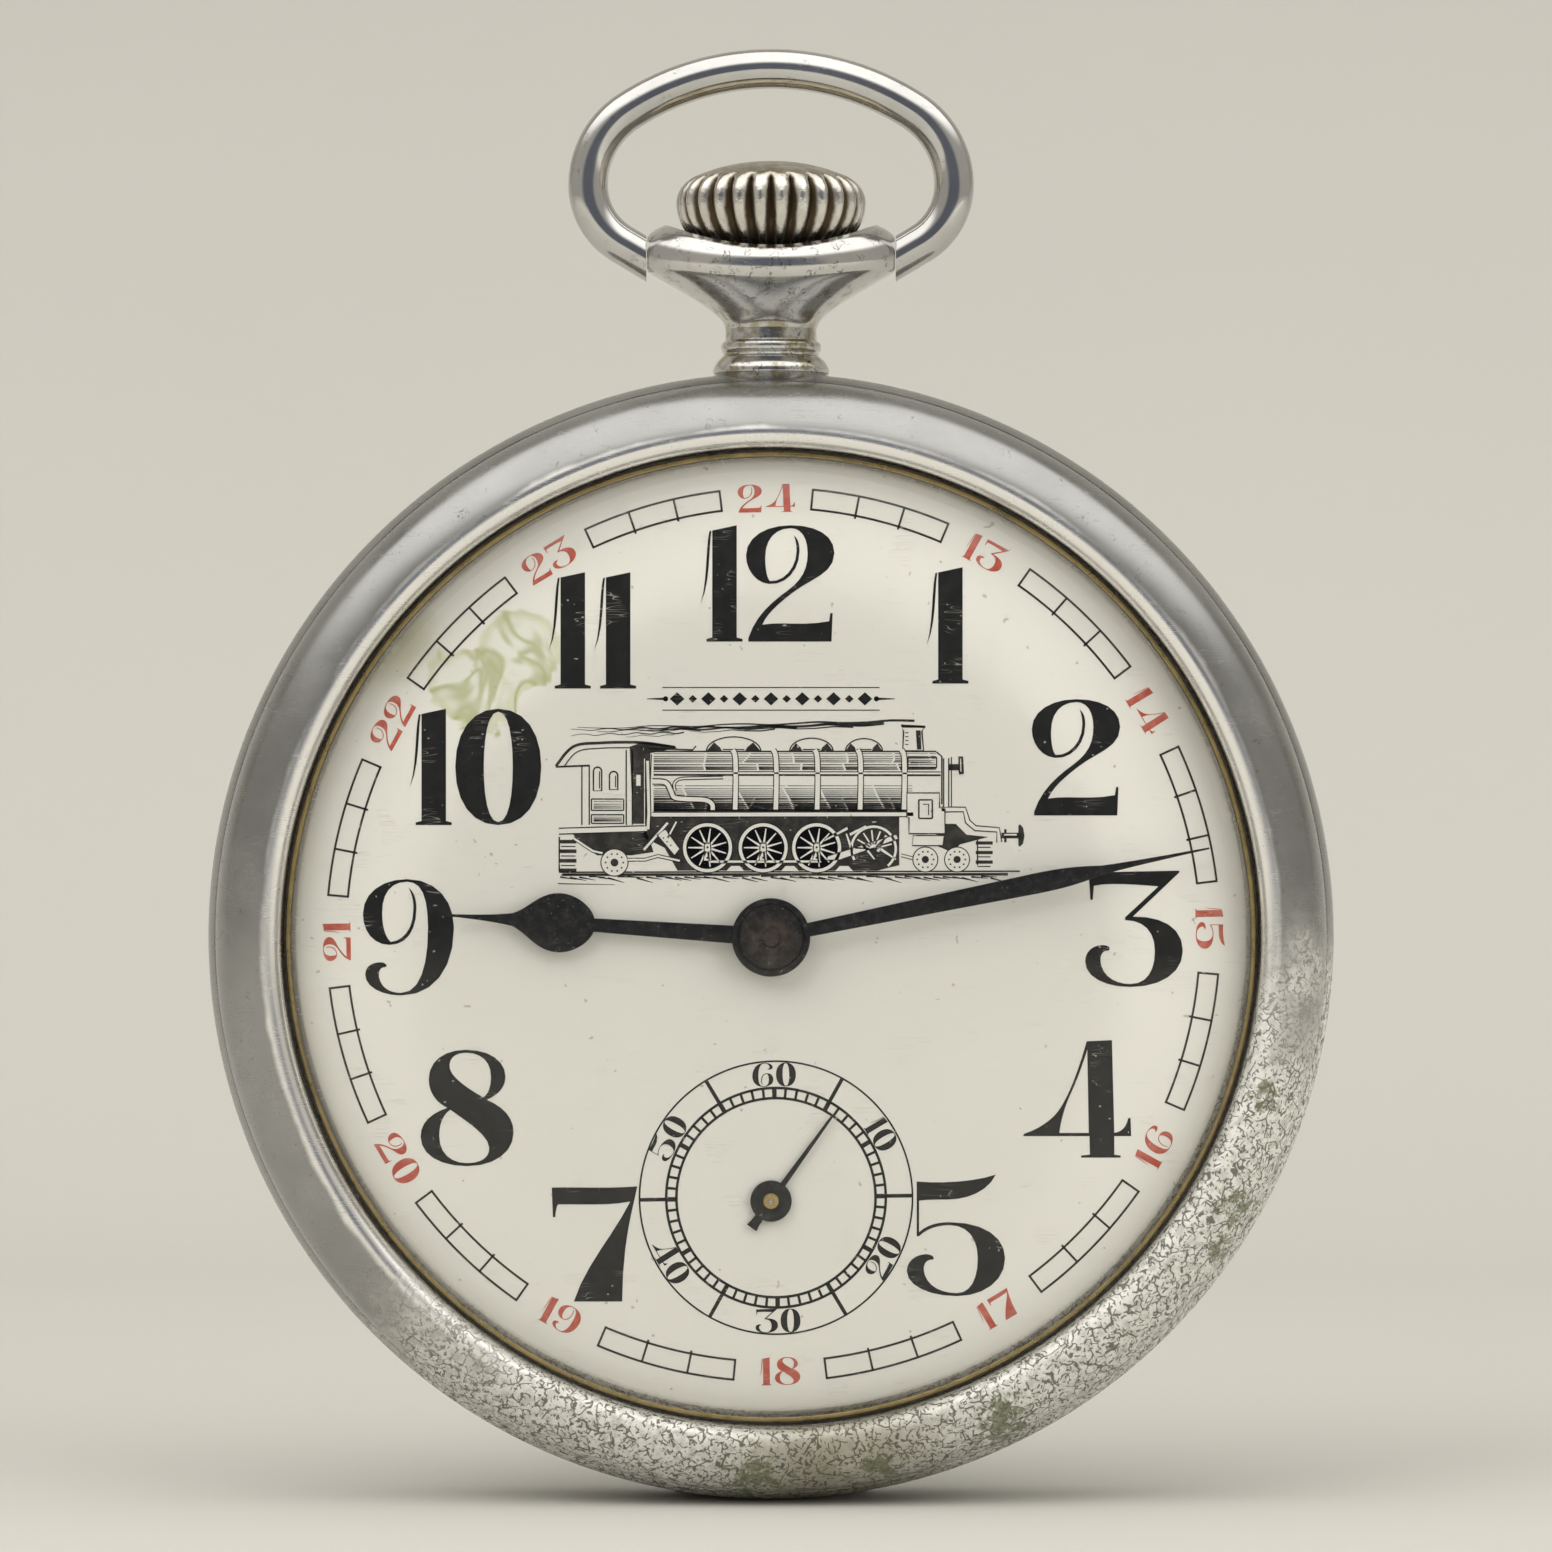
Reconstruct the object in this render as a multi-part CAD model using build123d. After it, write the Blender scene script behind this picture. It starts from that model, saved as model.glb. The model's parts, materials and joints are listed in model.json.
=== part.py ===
from build123d import *
import math
import os

# An open-face pocket watch, wound and set by its crown, in millimetres.
#
# Every piece is modelled lying on its back: +X to 3 o'clock, +Y to 12 o'clock and +Z out of the dial.
# X and Y are counted from the axis of the hands, and heights (Z) from the flat of the rear cover.
# UPRIGHT then stands the piece up, so that the written frame has +Z to 12 o'clock and the dial facing -Y.

# ---------------------------------------------------------------- case
CASE_R = 26.0              # widest radius of the band
STEM_Z = 5.6               # height of the winding stem, pendant and bow above the rear cover's flat
BAND_BACK_Z = 3.0          # where the rear cover meets the band
BAND_FRONT_Z = 8.4         # where the bezel meets the band
SEAM_GAP = 0.05            # open joint between the band and its covers
LIP_R = 24.4               # the band's snap lips, under both covers
LIP_H = 0.5
LEDGE_Z = 3.8              # ledge that the case screws pull the movement against
BEZEL_R = 25.6
OPENING_R = 22.5           # what the bezel leaves open over the dial
BEZEL_TOP_Z = 11.2
CRYSTAL_TOP_Z = 12.55
CRYSTAL_INNER_Z = 11.85    # inside of the glass, over the middle of the dial
COVER_WALL = 0.55
COVER_FLAT_R = 15.5
HINGE_Y = -25.6            # rear cover's hinge, along X under 6 o'clock
HINGE_Z = 2.75
KNUCKLE_R = 0.5
KNUCKLE_HALF = 1.5         # half length of the cover's knuckle
HINGE_HALF = 4.5           # half length of the whole hinge
HINGE_PIN_R = 0.22

# ---------------------------------------------------------------- pendant, bow and crown
FOOT_R = 2.65
SPIGOT_R = 1.9
NECK_R = 2.15
EAR_X = 5.75               # side faces of the pendant, where the bow pivots
BOW_PIVOT_Y = 31.35
BOW_WIRE_R = 0.925
BOW_HALF_W = 8.5           # half width of the wire's centre line
BOW_WIDEST_Y = 34.85
BOW_RISE = 5.4             # from the widest height to the top of the centre line
BOW_SIDE_R = 4.1
BOW_LOWER_R = 3.17
BOW_LOWER_TURN = 59.0      # degrees of bend below the widest height
BOW_RUN = 2.0              # straight run to the pendant's side
BOW_PEG_R = 0.5
CROWN_FLUTES = 26
CROWN_R = 4.4
CROWN_BASE_Y = 31.75
CROWN_WIDEST_Y = 34.0
CROWN_SHOULDER_R = 3.6
CROWN_SHOULDER_Y = 35.2
CROWN_TOP_Y = 35.95
STEM_R = 0.75
STEM_TIP_R = 0.6           # the threaded end inside the crown
STEM_PILOT_R = 0.35
STEM_SQUARE = 0.98
RUN = 0.02                 # running clearance of shafts, on the radius

# ---------------------------------------------------------------- movement levels, from the back to the dial
COCK_Z = 2.3
BRIDGE_Z = 2.6
SEAT_Z = 3.8               # where the bridges rest on the main plate
PLATE_Z = 8.0              # dial side of the main plate
PLATE_R = 21.4
FLANGE_R = 22.1
FLANGE_Z = 7.4
BRIDGE_R = 21.0
WINDING_Z = (2.65, 3.15)   # ratchet wheel and crown wheel
WINDING_FLOOR_Z = 3.45     # floor of their recess in the barrel bridge
CENTRE_WHEEL_Z = (3.95, 4.2)
FOURTH_WHEEL_Z = (4.05, 4.25)
THIRD_WHEEL_Z = (5.7, 5.95)
ESCAPE_Z = (5.4, 5.6)
BARREL_Z = (4.7, 6.05)
BARREL_TEETH_Z = (5.5, 6.0)
BALANCE_Z = (4.1, 4.6)
HAIRSPRING_Z = (3.6, 3.76)
MOTION_FLOOR_Z = 6.8       # recess under the dial for the wheels of the hands
MINUTE_WHEEL_Z = (6.9, 7.2)
HOUR_WHEEL_Z = (7.5, 7.8)
LEVER_Z = (7.35, 7.75)     # setting lever and yoke
LEVER_FLOOR_Z = 7.25
DIAL_Z = (8.1, 8.9)
DIAL_R = 22.0
SECONDS_HAND_Z = (9.1, 9.22)
HOUR_HAND_Z = (9.5, 9.66)
MINUTE_HAND_Z = (10.0, 10.16)

# ---------------------------------------------------------------- axes of the wheels (X, Y)
CENTRE = (0.0, 0.0)
BARREL = (-7.4, 6.1)
THIRD = (3.03, -6.53)
FOURTH = (0.0, -12.14)
ESCAPE = (5.2, -13.05)
PALLET = (7.07, -11.01)
BALANCE = (10.15, -7.65)
CROWN_WHEEL = (0.0, 12.83)
MINUTE_WHEEL = (0.9, 3.486)
SETTING_WHEEL = (0.0, 8.81)
CLICK = (-13.95, 1.51)
SETTING_LEVER = (3.3, 18.2)
CLICK_SPRING = (-14.88, 3.5)
HAIRSPRING_STUD = (11.75, -4.65)
YOKE = (5.2, 11.2)

# ---------------------------------------------------------------- teeth
BARREL_TEETH, CENTRE_LEAVES, BARREL_MODULE = 84, 12, 0.2
CENTRE_TEETH, THIRD_LEAVES, CENTRE_MODULE = 80, 10, 0.16
THIRD_TEETH, FOURTH_LEAVES, THIRD_MODULE = 75, 10, 0.15
FOURTH_TEETH, ESCAPE_LEAVES, FOURTH_MODULE = 80, 8, 0.12
ESCAPE_TEETH = 15
ESCAPE_LEAD = 2.0                                  # degrees a tooth stands past the line to the lever
CANNON_LEAVES, MINUTE_TEETH, MINUTE_MODULE = 12, 36, 0.15
MINUTE_LEAVES, HOUR_TEETH, HOUR_MODULE = 12, 48, 0.12
SETTING_TEETH = 36
RATCHET_TEETH, CROWN_WHEEL_TEETH, WINDING_MODULE = 48, 32, 0.25
BALANCE_SCREWS = 15
BALANCE_ARM_TURN = 35.0

# ---------------------------------------------------------------- fastenings
SHANK_R = 0.45
SHANK_HOLE_R = 0.5
STUD_R = 0.22
HEAD_R = 1.15
HEAD_H = 0.5
JEWEL_R = 0.55
PIVOT_R = 0.12
BARREL_BRIDGE_SCREWS = [(-18.0, 5.5), (-8.6, 16.8), (13.0, 11.5)]
TRAIN_BRIDGE_SCREWS = [(-12.5, -8.5), (-7.5, -16.5), (3.0, -18.6)]
COCK_SCREW = (16.2, 1.2)
PALLET_COCK_SCREW = (9.6, -13.3)
CASE_SCREWS = [(20.55, -3.6), (-20.75, -2.2)]
DIAL_FEET = [(-14.0, -13.5), (15.5, -12.0), (-13.0, 15.0)]

# ---------------------------------------------------------------- hands, as read at rest (degrees clockwise from 12)
HOUR_ANGLE = 273.9
MINUTE_ANGLE = 78.5
SECONDS_ANGLE = 35.8
HOUR_HAND_LENGTH = 14.9
MINUTE_HAND_LENGTH = 20.5

STEM_AXIS = Axis((0, 0, STEM_Z), (0, 1, 0))
UPRIGHT = Plane(origin=(0, STEM_Z, 0), x_dir=(1, 0, 0), z_dir=(0, -1, 0)).location


# ---------------------------------------------------------------- shapes that repeat
def disc(radius, z0, z1, at=CENTRE):
    return Pos(at[0], at[1], (z0 + z1) / 2) * Cylinder(radius, z1 - z0)


def ring(outer, inner, z0, z1, at=CENTRE):
    return disc(outer, z0, z1, at) - disc(inner, z0, z1, at)


def block(x0, x1, y0, y1, z0, z1):
    middle = Pos((x0 + x1) / 2, (y0 + y1) / 2, (z0 + z1) / 2)
    return middle * Box(x1 - x0, y1 - y0, z1 - z0)


def slab(face, z0, z1):
    return extrude(Pos(0, 0, z0) * face, amount=z1 - z0, dir=(0, 0, 1))


def polygon(*points):
    return make_face(Polyline(*points, close=True))


def turned(*edges):
    """A body turned about the hands' axis, from the edges of its half profile (radius, height)."""
    return revolve(make_face([Plane.XZ * edge for edge in edges]), Axis.Z)


def turned_on_stem(*points):
    """A body turned about the stem, from its half profile (radius, distance from the hands' axis)."""
    return revolve(Pos(0, 0, STEM_Z) * polygon(*points), STEM_AXIS)


def along_stem(radius, y0, y1):
    return Pos(0, (y0 + y1) / 2, STEM_Z) * Rot(90, 0, 0) * Cylinder(radius, y1 - y0)


def along_x(radius, x0, x1, y, z):
    return Pos((x0 + x1) / 2, y, z) * Rot(0, 90, 0) * Cylinder(radius, x1 - x0)


def dome(radius, rise, top):
    """Arc of a cap whose sphere is centred on the axis, from the middle (0, top) out to the radius."""
    sphere_r = (radius**2 + rise**2) / (2 * rise)
    half_way = radius / 2
    return ThreePointArc(
        (0, top),
        (half_way, top - sphere_r + math.sqrt(sphere_r**2 - half_way**2)),
        (radius, top - rise),
    )


def polar(radius, degrees, at=CENTRE):
    angle = math.radians(degrees)
    return (at[0] + radius * math.cos(angle), at[1] + radius * math.sin(angle))


def bearing(start, end):
    return math.degrees(math.atan2(end[1] - start[1], end[0] - start[0]))


def link(start, start_r, end, end_r, z0, z1):
    """A flat lever: two round ends and the tapering bar between them."""
    length = math.dist(start, end)
    lean = math.degrees(math.acos((start_r - end_r) / length))
    way = bearing(start, end)
    corners = [
        polar(start_r, way + lean, start),
        polar(end_r, way + lean, end),
        polar(end_r, way - lean, end),
        polar(start_r, way - lean, start),
    ]
    bar = slab(polygon(*corners), z0, z1)
    return bar + disc(start_r, z0, z1, start) + disc(end_r, z0, z1, end)


def gear_face(teeth, module, phase, width=0.44, tip=0.9, root=1.2):
    """Outline of a gear whose tooth number 0 points along phase, in degrees."""
    pitch = 360 / teeth
    pitch_r = teeth * module / 2
    flank = [
        (pitch_r - root * module, -0.29),
        (pitch_r, -width / 2),
        (pitch_r + tip * module, -0.11),
        (pitch_r + tip * module, 0.11),
        (pitch_r, width / 2),
        (pitch_r - root * module, 0.29),
    ]
    points = [polar(r, phase + (tooth + part) * pitch) for tooth in range(teeth) for r, part in flank]
    return polygon(*points)


def gear(teeth, module, at, levels, phase, width=0.44):
    return Pos(at[0], at[1], 0) * slab(gear_face(teeth, module, phase, width), *levels)


def mesh_phase(driver_at, driver_teeth, driver_phase, at, teeth):
    """The phase that puts a gear in mesh with the gear that drives it."""
    way = bearing(driver_at, at)
    ahead = (driver_phase - way) % (360 / driver_teeth)
    return way + 180 - ahead * driver_teeth / teeth + 180 / teeth


def windows(outer, inner, arms, arm_width, at, levels, turn=0.0):
    """What is cut out of a wheel to leave its hub, arms and rim."""
    z0, z1 = levels
    cut = ring(outer, inner, z0 - 0.1, z1 + 0.1)
    for arm in range(arms):
        spoke = block(0, outer + 1, -arm_width / 2, arm_width / 2, z0 - 0.2, z1 + 0.2)
        cut -= Rot(0, 0, turn + arm * 360 / arms) * spoke
    return Pos(at[0], at[1], 0) * cut


def arbor(at, *steps):
    """A turned shaft from (radius, height, next height) steps."""
    shaft = disc(*steps[0], at)
    for step in steps[1:]:
        shaft += disc(*step, at)
    return shaft


def slotted_screw(at, head_z, head_r, head_h, shank_r, shank_end, slot_turn=25.0):
    """A cheese-head screw whose head faces the back of the watch."""
    screw = disc(head_r, head_z, head_z + head_h, at) + disc(shank_r, head_z + head_h, shank_end, at)
    slot = Pos(at[0], at[1], head_z) * Rot(0, 0, slot_turn) * Box(3 * head_r, head_r / 4, head_h * 0.8)
    return screw - slot


def spiral(inner_r, outer_r, turns, thickness, at, levels, start=0.0, steps=28):
    """A flat strip wound as an even spiral."""
    count = round(turns * steps)
    reach = [inner_r + (outer_r - inner_r) * n / count for n in range(count + 1)]
    turn = [start + 360 * turns * n / count for n in range(count + 1)]
    outside = [polar(r + thickness / 2, a, at) for r, a in zip(reach, turn)]
    inside = [polar(r - thickness / 2, a, at) for r, a in zip(reach, turn)]
    return slab(polygon(*outside, *reversed(inside)), *levels)


# ---------------------------------------------------------------- case
def case_outline():
    """The band's full outer shape, with no bore."""
    return turned(
        Polyline((0, BAND_FRONT_Z), (0, BAND_BACK_Z), (25.55, BAND_BACK_Z)),
        ThreePointArc((25.55, BAND_BACK_Z), (25.9, 3.55), (CASE_R, 4.6)),
        Line((CASE_R, 4.6), (CASE_R, 6.8)),
        ThreePointArc((CASE_R, 6.8), (25.92, 7.75), (25.65, BAND_FRONT_Z)),
        Line((25.65, BAND_FRONT_Z), (0, BAND_FRONT_Z)),
    )


def case_band():
    band = case_outline()
    band += disc(LIP_R, BAND_FRONT_Z, BAND_FRONT_Z + LIP_H)
    band += disc(LIP_R, BAND_BACK_Z - LIP_H + 0.1, BAND_BACK_Z)
    band -= disc(PLATE_R + 0.25, 2, 10)
    band -= disc(23.0, 2, LEDGE_Z)
    band -= disc(OPENING_R, FLANGE_Z, 10)
    for side in (-1, 1):
        ends = sorted((side * (KNUCKLE_HALF + 0.1), side * HINGE_HALF))
        band += along_x(KNUCKLE_R, *ends, HINGE_Y, HINGE_Z)
        band += block(*ends, HINGE_Y - 0.35, HINGE_Y + 0.5, HINGE_Z + 0.1, 3.6)
    band -= along_x(KNUCKLE_R + 0.12, -KNUCKLE_HALF - 0.1, KNUCKLE_HALF + 0.1, HINGE_Y, HINGE_Z)
    band -= along_x(HINGE_PIN_R + RUN, -6, 6, HINGE_Y, HINGE_Z)
    return band - along_stem(SPIGOT_R + RUN, 20, 28)


def rear_cover():
    rim_z = BAND_BACK_Z - SEAM_GAP
    cover = turned(
        Line((0, 0), (COVER_FLAT_R, 0)),
        ThreePointArc((COVER_FLAT_R, 0), (21.3, 0.74), (25.05, 2.25)),
        ThreePointArc((25.05, 2.25), (25.38, 2.55), (25.5, rim_z)),
        Polyline((25.5, rim_z), (LIP_R + 0.15, rim_z), (LIP_R + 0.15, 2.5)),
        ThreePointArc((LIP_R + 0.15, 2.5), (20.9, 1.26), (COVER_FLAT_R, COVER_WALL)),
        Polyline((COVER_FLAT_R, COVER_WALL), (0, COVER_WALL), (0, 0)),
    )
    for side in (-1, 1):
        ends = sorted((side * KNUCKLE_HALF, side * (HINGE_HALF + 0.1)))
        cover -= along_x(KNUCKLE_R + 0.12, *ends, HINGE_Y, HINGE_Z)
        cover -= block(*ends, -27, HINGE_Y + 0.62, 2.1, 4)
    knuckle = along_x(KNUCKLE_R, -KNUCKLE_HALF, KNUCKLE_HALF, HINGE_Y, HINGE_Z)
    knuckle += block(-KNUCKLE_HALF, KNUCKLE_HALF, HINGE_Y, HINGE_Y + 0.75, HINGE_Z - 0.5, HINGE_Z + 0.1)
    return cover + knuckle - along_x(HINGE_PIN_R + RUN, -6, 6, HINGE_Y, HINGE_Z)


def hinge_pin():
    return along_x(HINGE_PIN_R, -HINGE_HALF, HINGE_HALF, HINGE_Y, HINGE_Z)


def bezel():
    foot_z = BAND_FRONT_Z + SEAM_GAP
    lip_r = LIP_R + 0.15
    return turned(
        ThreePointArc((BEZEL_R, foot_z), (24.98, 10.1), (23.35, BEZEL_TOP_Z)),
        ThreePointArc((23.35, BEZEL_TOP_Z), (22.8, 11.17), (OPENING_R, 10.85)),
        Polyline((OPENING_R, 10.85), (OPENING_R, 10.75), (23.0, 10.75), (23.0, 10.1), (OPENING_R, 10.1)),
        Polyline((OPENING_R, 10.1), (OPENING_R, 9.1), (lip_r, 9.1), (lip_r, foot_z), (BEZEL_R, foot_z)),
    )


def crystal():
    """A low bombe glass: nearly flat over the dial, and turned down steeply to its seat."""
    return turned(
        dome(18.6, CRYSTAL_TOP_Z - 12.18, CRYSTAL_TOP_Z),
        ThreePointArc((18.6, 12.18), (21.1, 11.62), (22.42, 10.7)),
        Polyline((22.42, 10.7), (22.95, 10.7), (22.95, 10.15), (22.0, 10.15)),
        ThreePointArc((22.0, 10.15), (20.7, 11.02), (18.3, 11.5)),
        dome(18.3, CRYSTAL_INNER_Z - 11.5, CRYSTAL_INNER_Z),
        Line((0, CRYSTAL_INNER_Z), (0, CRYSTAL_TOP_Z)),
    )


def pendant():
    foot = turned_on_stem(
        (0, 25.0), (FOOT_R, 25.0), (FOOT_R, 26.35), (2.5, 26.6), (2.05, 26.85), (2.05, 27.0),
        (2.3, 27.2), (2.3, 27.5), (NECK_R, 27.75), (NECK_R, 28.3), (0, 28.3),
    )
    foot -= case_outline()
    spigot = along_stem(SPIGOT_R, 24.0, 26.5)
    sections = [
        (28.1, 2.1, 2.1), (28.6, 2.3, 2.25), (29.4, 3.8, 2.9), (30.4, 5.8, 3.7),
        (31.2, 6.3, 4.0), (32.1, 5.9, 3.9), (33.0, 4.7, 3.4),
    ]
    level = Plane(origin=(0, 0, STEM_Z), x_dir=(1, 0, 0), z_dir=(0, 1, 0))
    head = loft([level * Pos(0, 0, y) * Ellipse(half_w, half_d) for y, half_w, half_d in sections])
    head &= block(-EAR_X, EAR_X, 28.0, 33.2, 0, 12)
    saddle_r = 10.4
    head -= Pos(0, 31.8 + saddle_r, STEM_Z) * Cylinder(saddle_r, 12)
    head -= turned_on_stem((0, 30.9), (3.1, 30.9), (4.0, 31.7), (4.6, 33.5), (0, 33.5))
    for side in (-1, 1):
        head -= along_x(BOW_PEG_R + 0.05, *sorted((side * 4.75, side * 6.5)), BOW_PIVOT_Y, STEM_Z)
    return foot + spigot + head - along_stem(STEM_R + 0.1, 20, 36)


def bow():
    side_centre = BOW_HALF_W - BOW_SIDE_R
    top_r = (side_centre**2 + BOW_RISE**2 - BOW_SIDE_R**2) / (2 * (BOW_RISE - BOW_SIDE_R))
    top_centre = BOW_RISE - top_r
    meet = math.degrees(math.atan2(-top_centre, side_centre))
    lower_centre = BOW_HALF_W - BOW_LOWER_R
    heel = polar(BOW_LOWER_R, -BOW_LOWER_TURN, (lower_centre, BOW_WIDEST_Y))
    run = polar(BOW_RUN, -90 - BOW_LOWER_TURN, heel)
    right = [
        Line(run, heel),
        CenterArc((lower_centre, BOW_WIDEST_Y), BOW_LOWER_R, -BOW_LOWER_TURN, BOW_LOWER_TURN),
        CenterArc((side_centre, BOW_WIDEST_Y), BOW_SIDE_R, 0, meet),
    ]
    top = CenterArc((0, BOW_WIDEST_Y + top_centre), top_r, meet, 180 - 2 * meet)
    path = Wire(right + [top] + [mirror(edge, Plane.YZ).edge() for edge in right])
    start = Plane(origin=(*run, 0), z_dir=(path % 0) if (path @ 0).X > 0 else (path % 1))
    wire = sweep(start * Circle(BOW_WIRE_R), path=path)
    wire -= block(-EAR_X - 0.06, EAR_X + 0.06, 29, BOW_WIDEST_Y, -2, 2)
    for side in (-1, 1):
        wire += along_x(BOW_PEG_R, *sorted((side * 4.85, side * (EAR_X + 0.4))), BOW_PIVOT_Y, 0)
    return Pos(0, 0, STEM_Z) * wire


def crown():
    """Onion crown: the flutes are cut by a lobed outline, and stop at the smooth domed cap."""
    edges = [
        Polyline((0, CROWN_BASE_Y), (2.7, CROWN_BASE_Y)),
        ThreePointArc((2.7, CROWN_BASE_Y), (3.95, 32.65), (CROWN_R, CROWN_WIDEST_Y)),
        ThreePointArc((CROWN_R, CROWN_WIDEST_Y), (4.22, 34.65), (CROWN_SHOULDER_R, CROWN_SHOULDER_Y)),
        dome(CROWN_SHOULDER_R, CROWN_TOP_Y - CROWN_SHOULDER_Y, CROWN_TOP_Y),
        Line((0, CROWN_TOP_Y), (0, CROWN_BASE_Y)),
    ]
    body = revolve(Pos(0, 0, STEM_Z) * make_face(edges), STEM_AXIS)
    groove = Pos(CROWN_R + 0.06, 0, 0) * Cylinder(0.3, 12)
    upright = Plane(origin=(0, 33, STEM_Z), x_dir=(1, 0, 0), z_dir=(0, 1, 0)).location
    body -= [upright * Rot(0, 0, (n + 0.5) * 360 / CROWN_FLUTES) * groove for n in range(CROWN_FLUTES)]
    return body - along_stem(STEM_TIP_R + RUN, 30, 34.2)


# ---------------------------------------------------------------- winding and setting
def stem():
    shaft = turned_on_stem(
        (0, 15.3), (STEM_R, 15.3), (STEM_R, 18.2), (0.45, 18.2), (0.45, 19.0), (STEM_R, 19.0),
        (STEM_R, 30.6), (STEM_TIP_R, 30.8), (STEM_TIP_R, 34.1), (0, 34.1),
    )
    square = block(-STEM_SQUARE / 2, STEM_SQUARE / 2, 12.0, 15.3, STEM_Z - STEM_SQUARE / 2, STEM_Z + STEM_SQUARE / 2)
    return shaft + square + along_stem(STEM_PILOT_R, 11.35, 12.0)


def toothed_sleeve(radius, y0, y1, teeth, depth):
    """A sleeve on the stem with straight teeth cut into its rim."""
    sleeve = along_stem(radius, y0, y1)
    for tooth in range(teeth):
        turn = Pos(0, 0, STEM_Z) * Rot(0, tooth * 360 / teeth, 0)
        sleeve -= turn * block(-0.2, 0.2, y0 - 0.1, y1 + 0.1, radius - depth, radius + 0.2)
    return sleeve


def winding_pinion():
    return toothed_sleeve(2.2, 15.35, 16.85, 16, 0.45) - along_stem(STEM_R + RUN, 15, 18)


def sliding_pinion():
    sleeve = toothed_sleeve(1.45, 13.2, 15.2, 12, 0.3)
    sleeve -= along_stem(1.6, 13.8, 14.4) - along_stem(1.0, 13.8, 14.4)
    hole = STEM_SQUARE / 2 + 0.03
    return sleeve - block(-hole, hole, 13, 15.5, STEM_Z - hole, STEM_Z + hole)


def setting_lever():
    lever = link(SETTING_LEVER, 1.0, (0.0, 18.6), 0.5, *LEVER_Z)
    lever += disc(0.28, 6.15, LEVER_Z[0], (0.0, 18.6))
    return lever - disc(0.5 + RUN, 7, 8, SETTING_LEVER)


def yoke():
    arm = link(YOKE, 1.1, (0.1, 14.1), 0.55, *LEVER_Z)
    arm += block(-0.3, 0.5, 13.95, 14.25, 6.75, LEVER_Z[0])
    return arm - disc(0.5 + RUN, 7, 8, YOKE)


def yoke_spring():
    """A curved leaf that pushes the yoke's arm towards the crown."""
    leaf = ring(5.45, 5.25, *LEVER_Z, YOKE) & block(6.0, 12.0, 5.0, 14.0, 7, 8)
    return leaf + disc(0.7, *LEVER_Z, (10.3, 12.6))


def setting_wheel():
    wheel = gear(SETTING_TEETH, MINUTE_MODULE, SETTING_WHEEL, MINUTE_WHEEL_Z, SETTING_PHASE)
    return wheel - disc(0.5 + RUN, 6, 8, SETTING_WHEEL)


def keyless_cover():
    return link(SETTING_WHEEL, 2.2, YOKE, 1.4, 7.8, 7.98)


def crown_wheel():
    wheel = gear(CROWN_WHEEL_TEETH, WINDING_MODULE, CROWN_WHEEL, WINDING_Z, CROWN_WHEEL_PHASE, 0.42)
    contrate = ring(4.0, 3.2, WINDING_Z[1], 3.35)
    for tooth in range(CROWN_WHEEL_TEETH):
        gap = block(3.0, 4.2, -0.17, 0.17, WINDING_Z[1], 3.4)
        contrate -= Rot(0, 0, (tooth + 0.5) * 360 / CROWN_WHEEL_TEETH) * gap
    return wheel + Pos(*CROWN_WHEEL, 0) * contrate - disc(1.2 + RUN, 2, 4, CROWN_WHEEL)


def crown_wheel_core():
    core = ring(1.2, SHANK_HOLE_R, WINDING_Z[0], WINDING_FLOOR_Z, CROWN_WHEEL)
    return core


def ratchet_wheel():
    wheel = gear(RATCHET_TEETH, WINDING_MODULE, BARREL, WINDING_Z, RATCHET_PHASE, 0.42)
    return wheel - Pos(*BARREL, 3) * Rot(0, 0, 20) * Box(1.64, 1.64, 2)


def click():
    beak = (-10.78, 0.72)
    pawl = link(CLICK, 0.95, beak, 0.22, 2.75, 3.15)
    return pawl - disc(0.5 + RUN, 2, 4, CLICK)


def click_spring():
    leaf = ring(2.15, 2.0, 2.75, 3.15, CLICK) & block(-17, -14.2, 1.2, 5, 2, 4)
    return leaf + disc(0.55, 2.75, 3.15, CLICK_SPRING)


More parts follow.
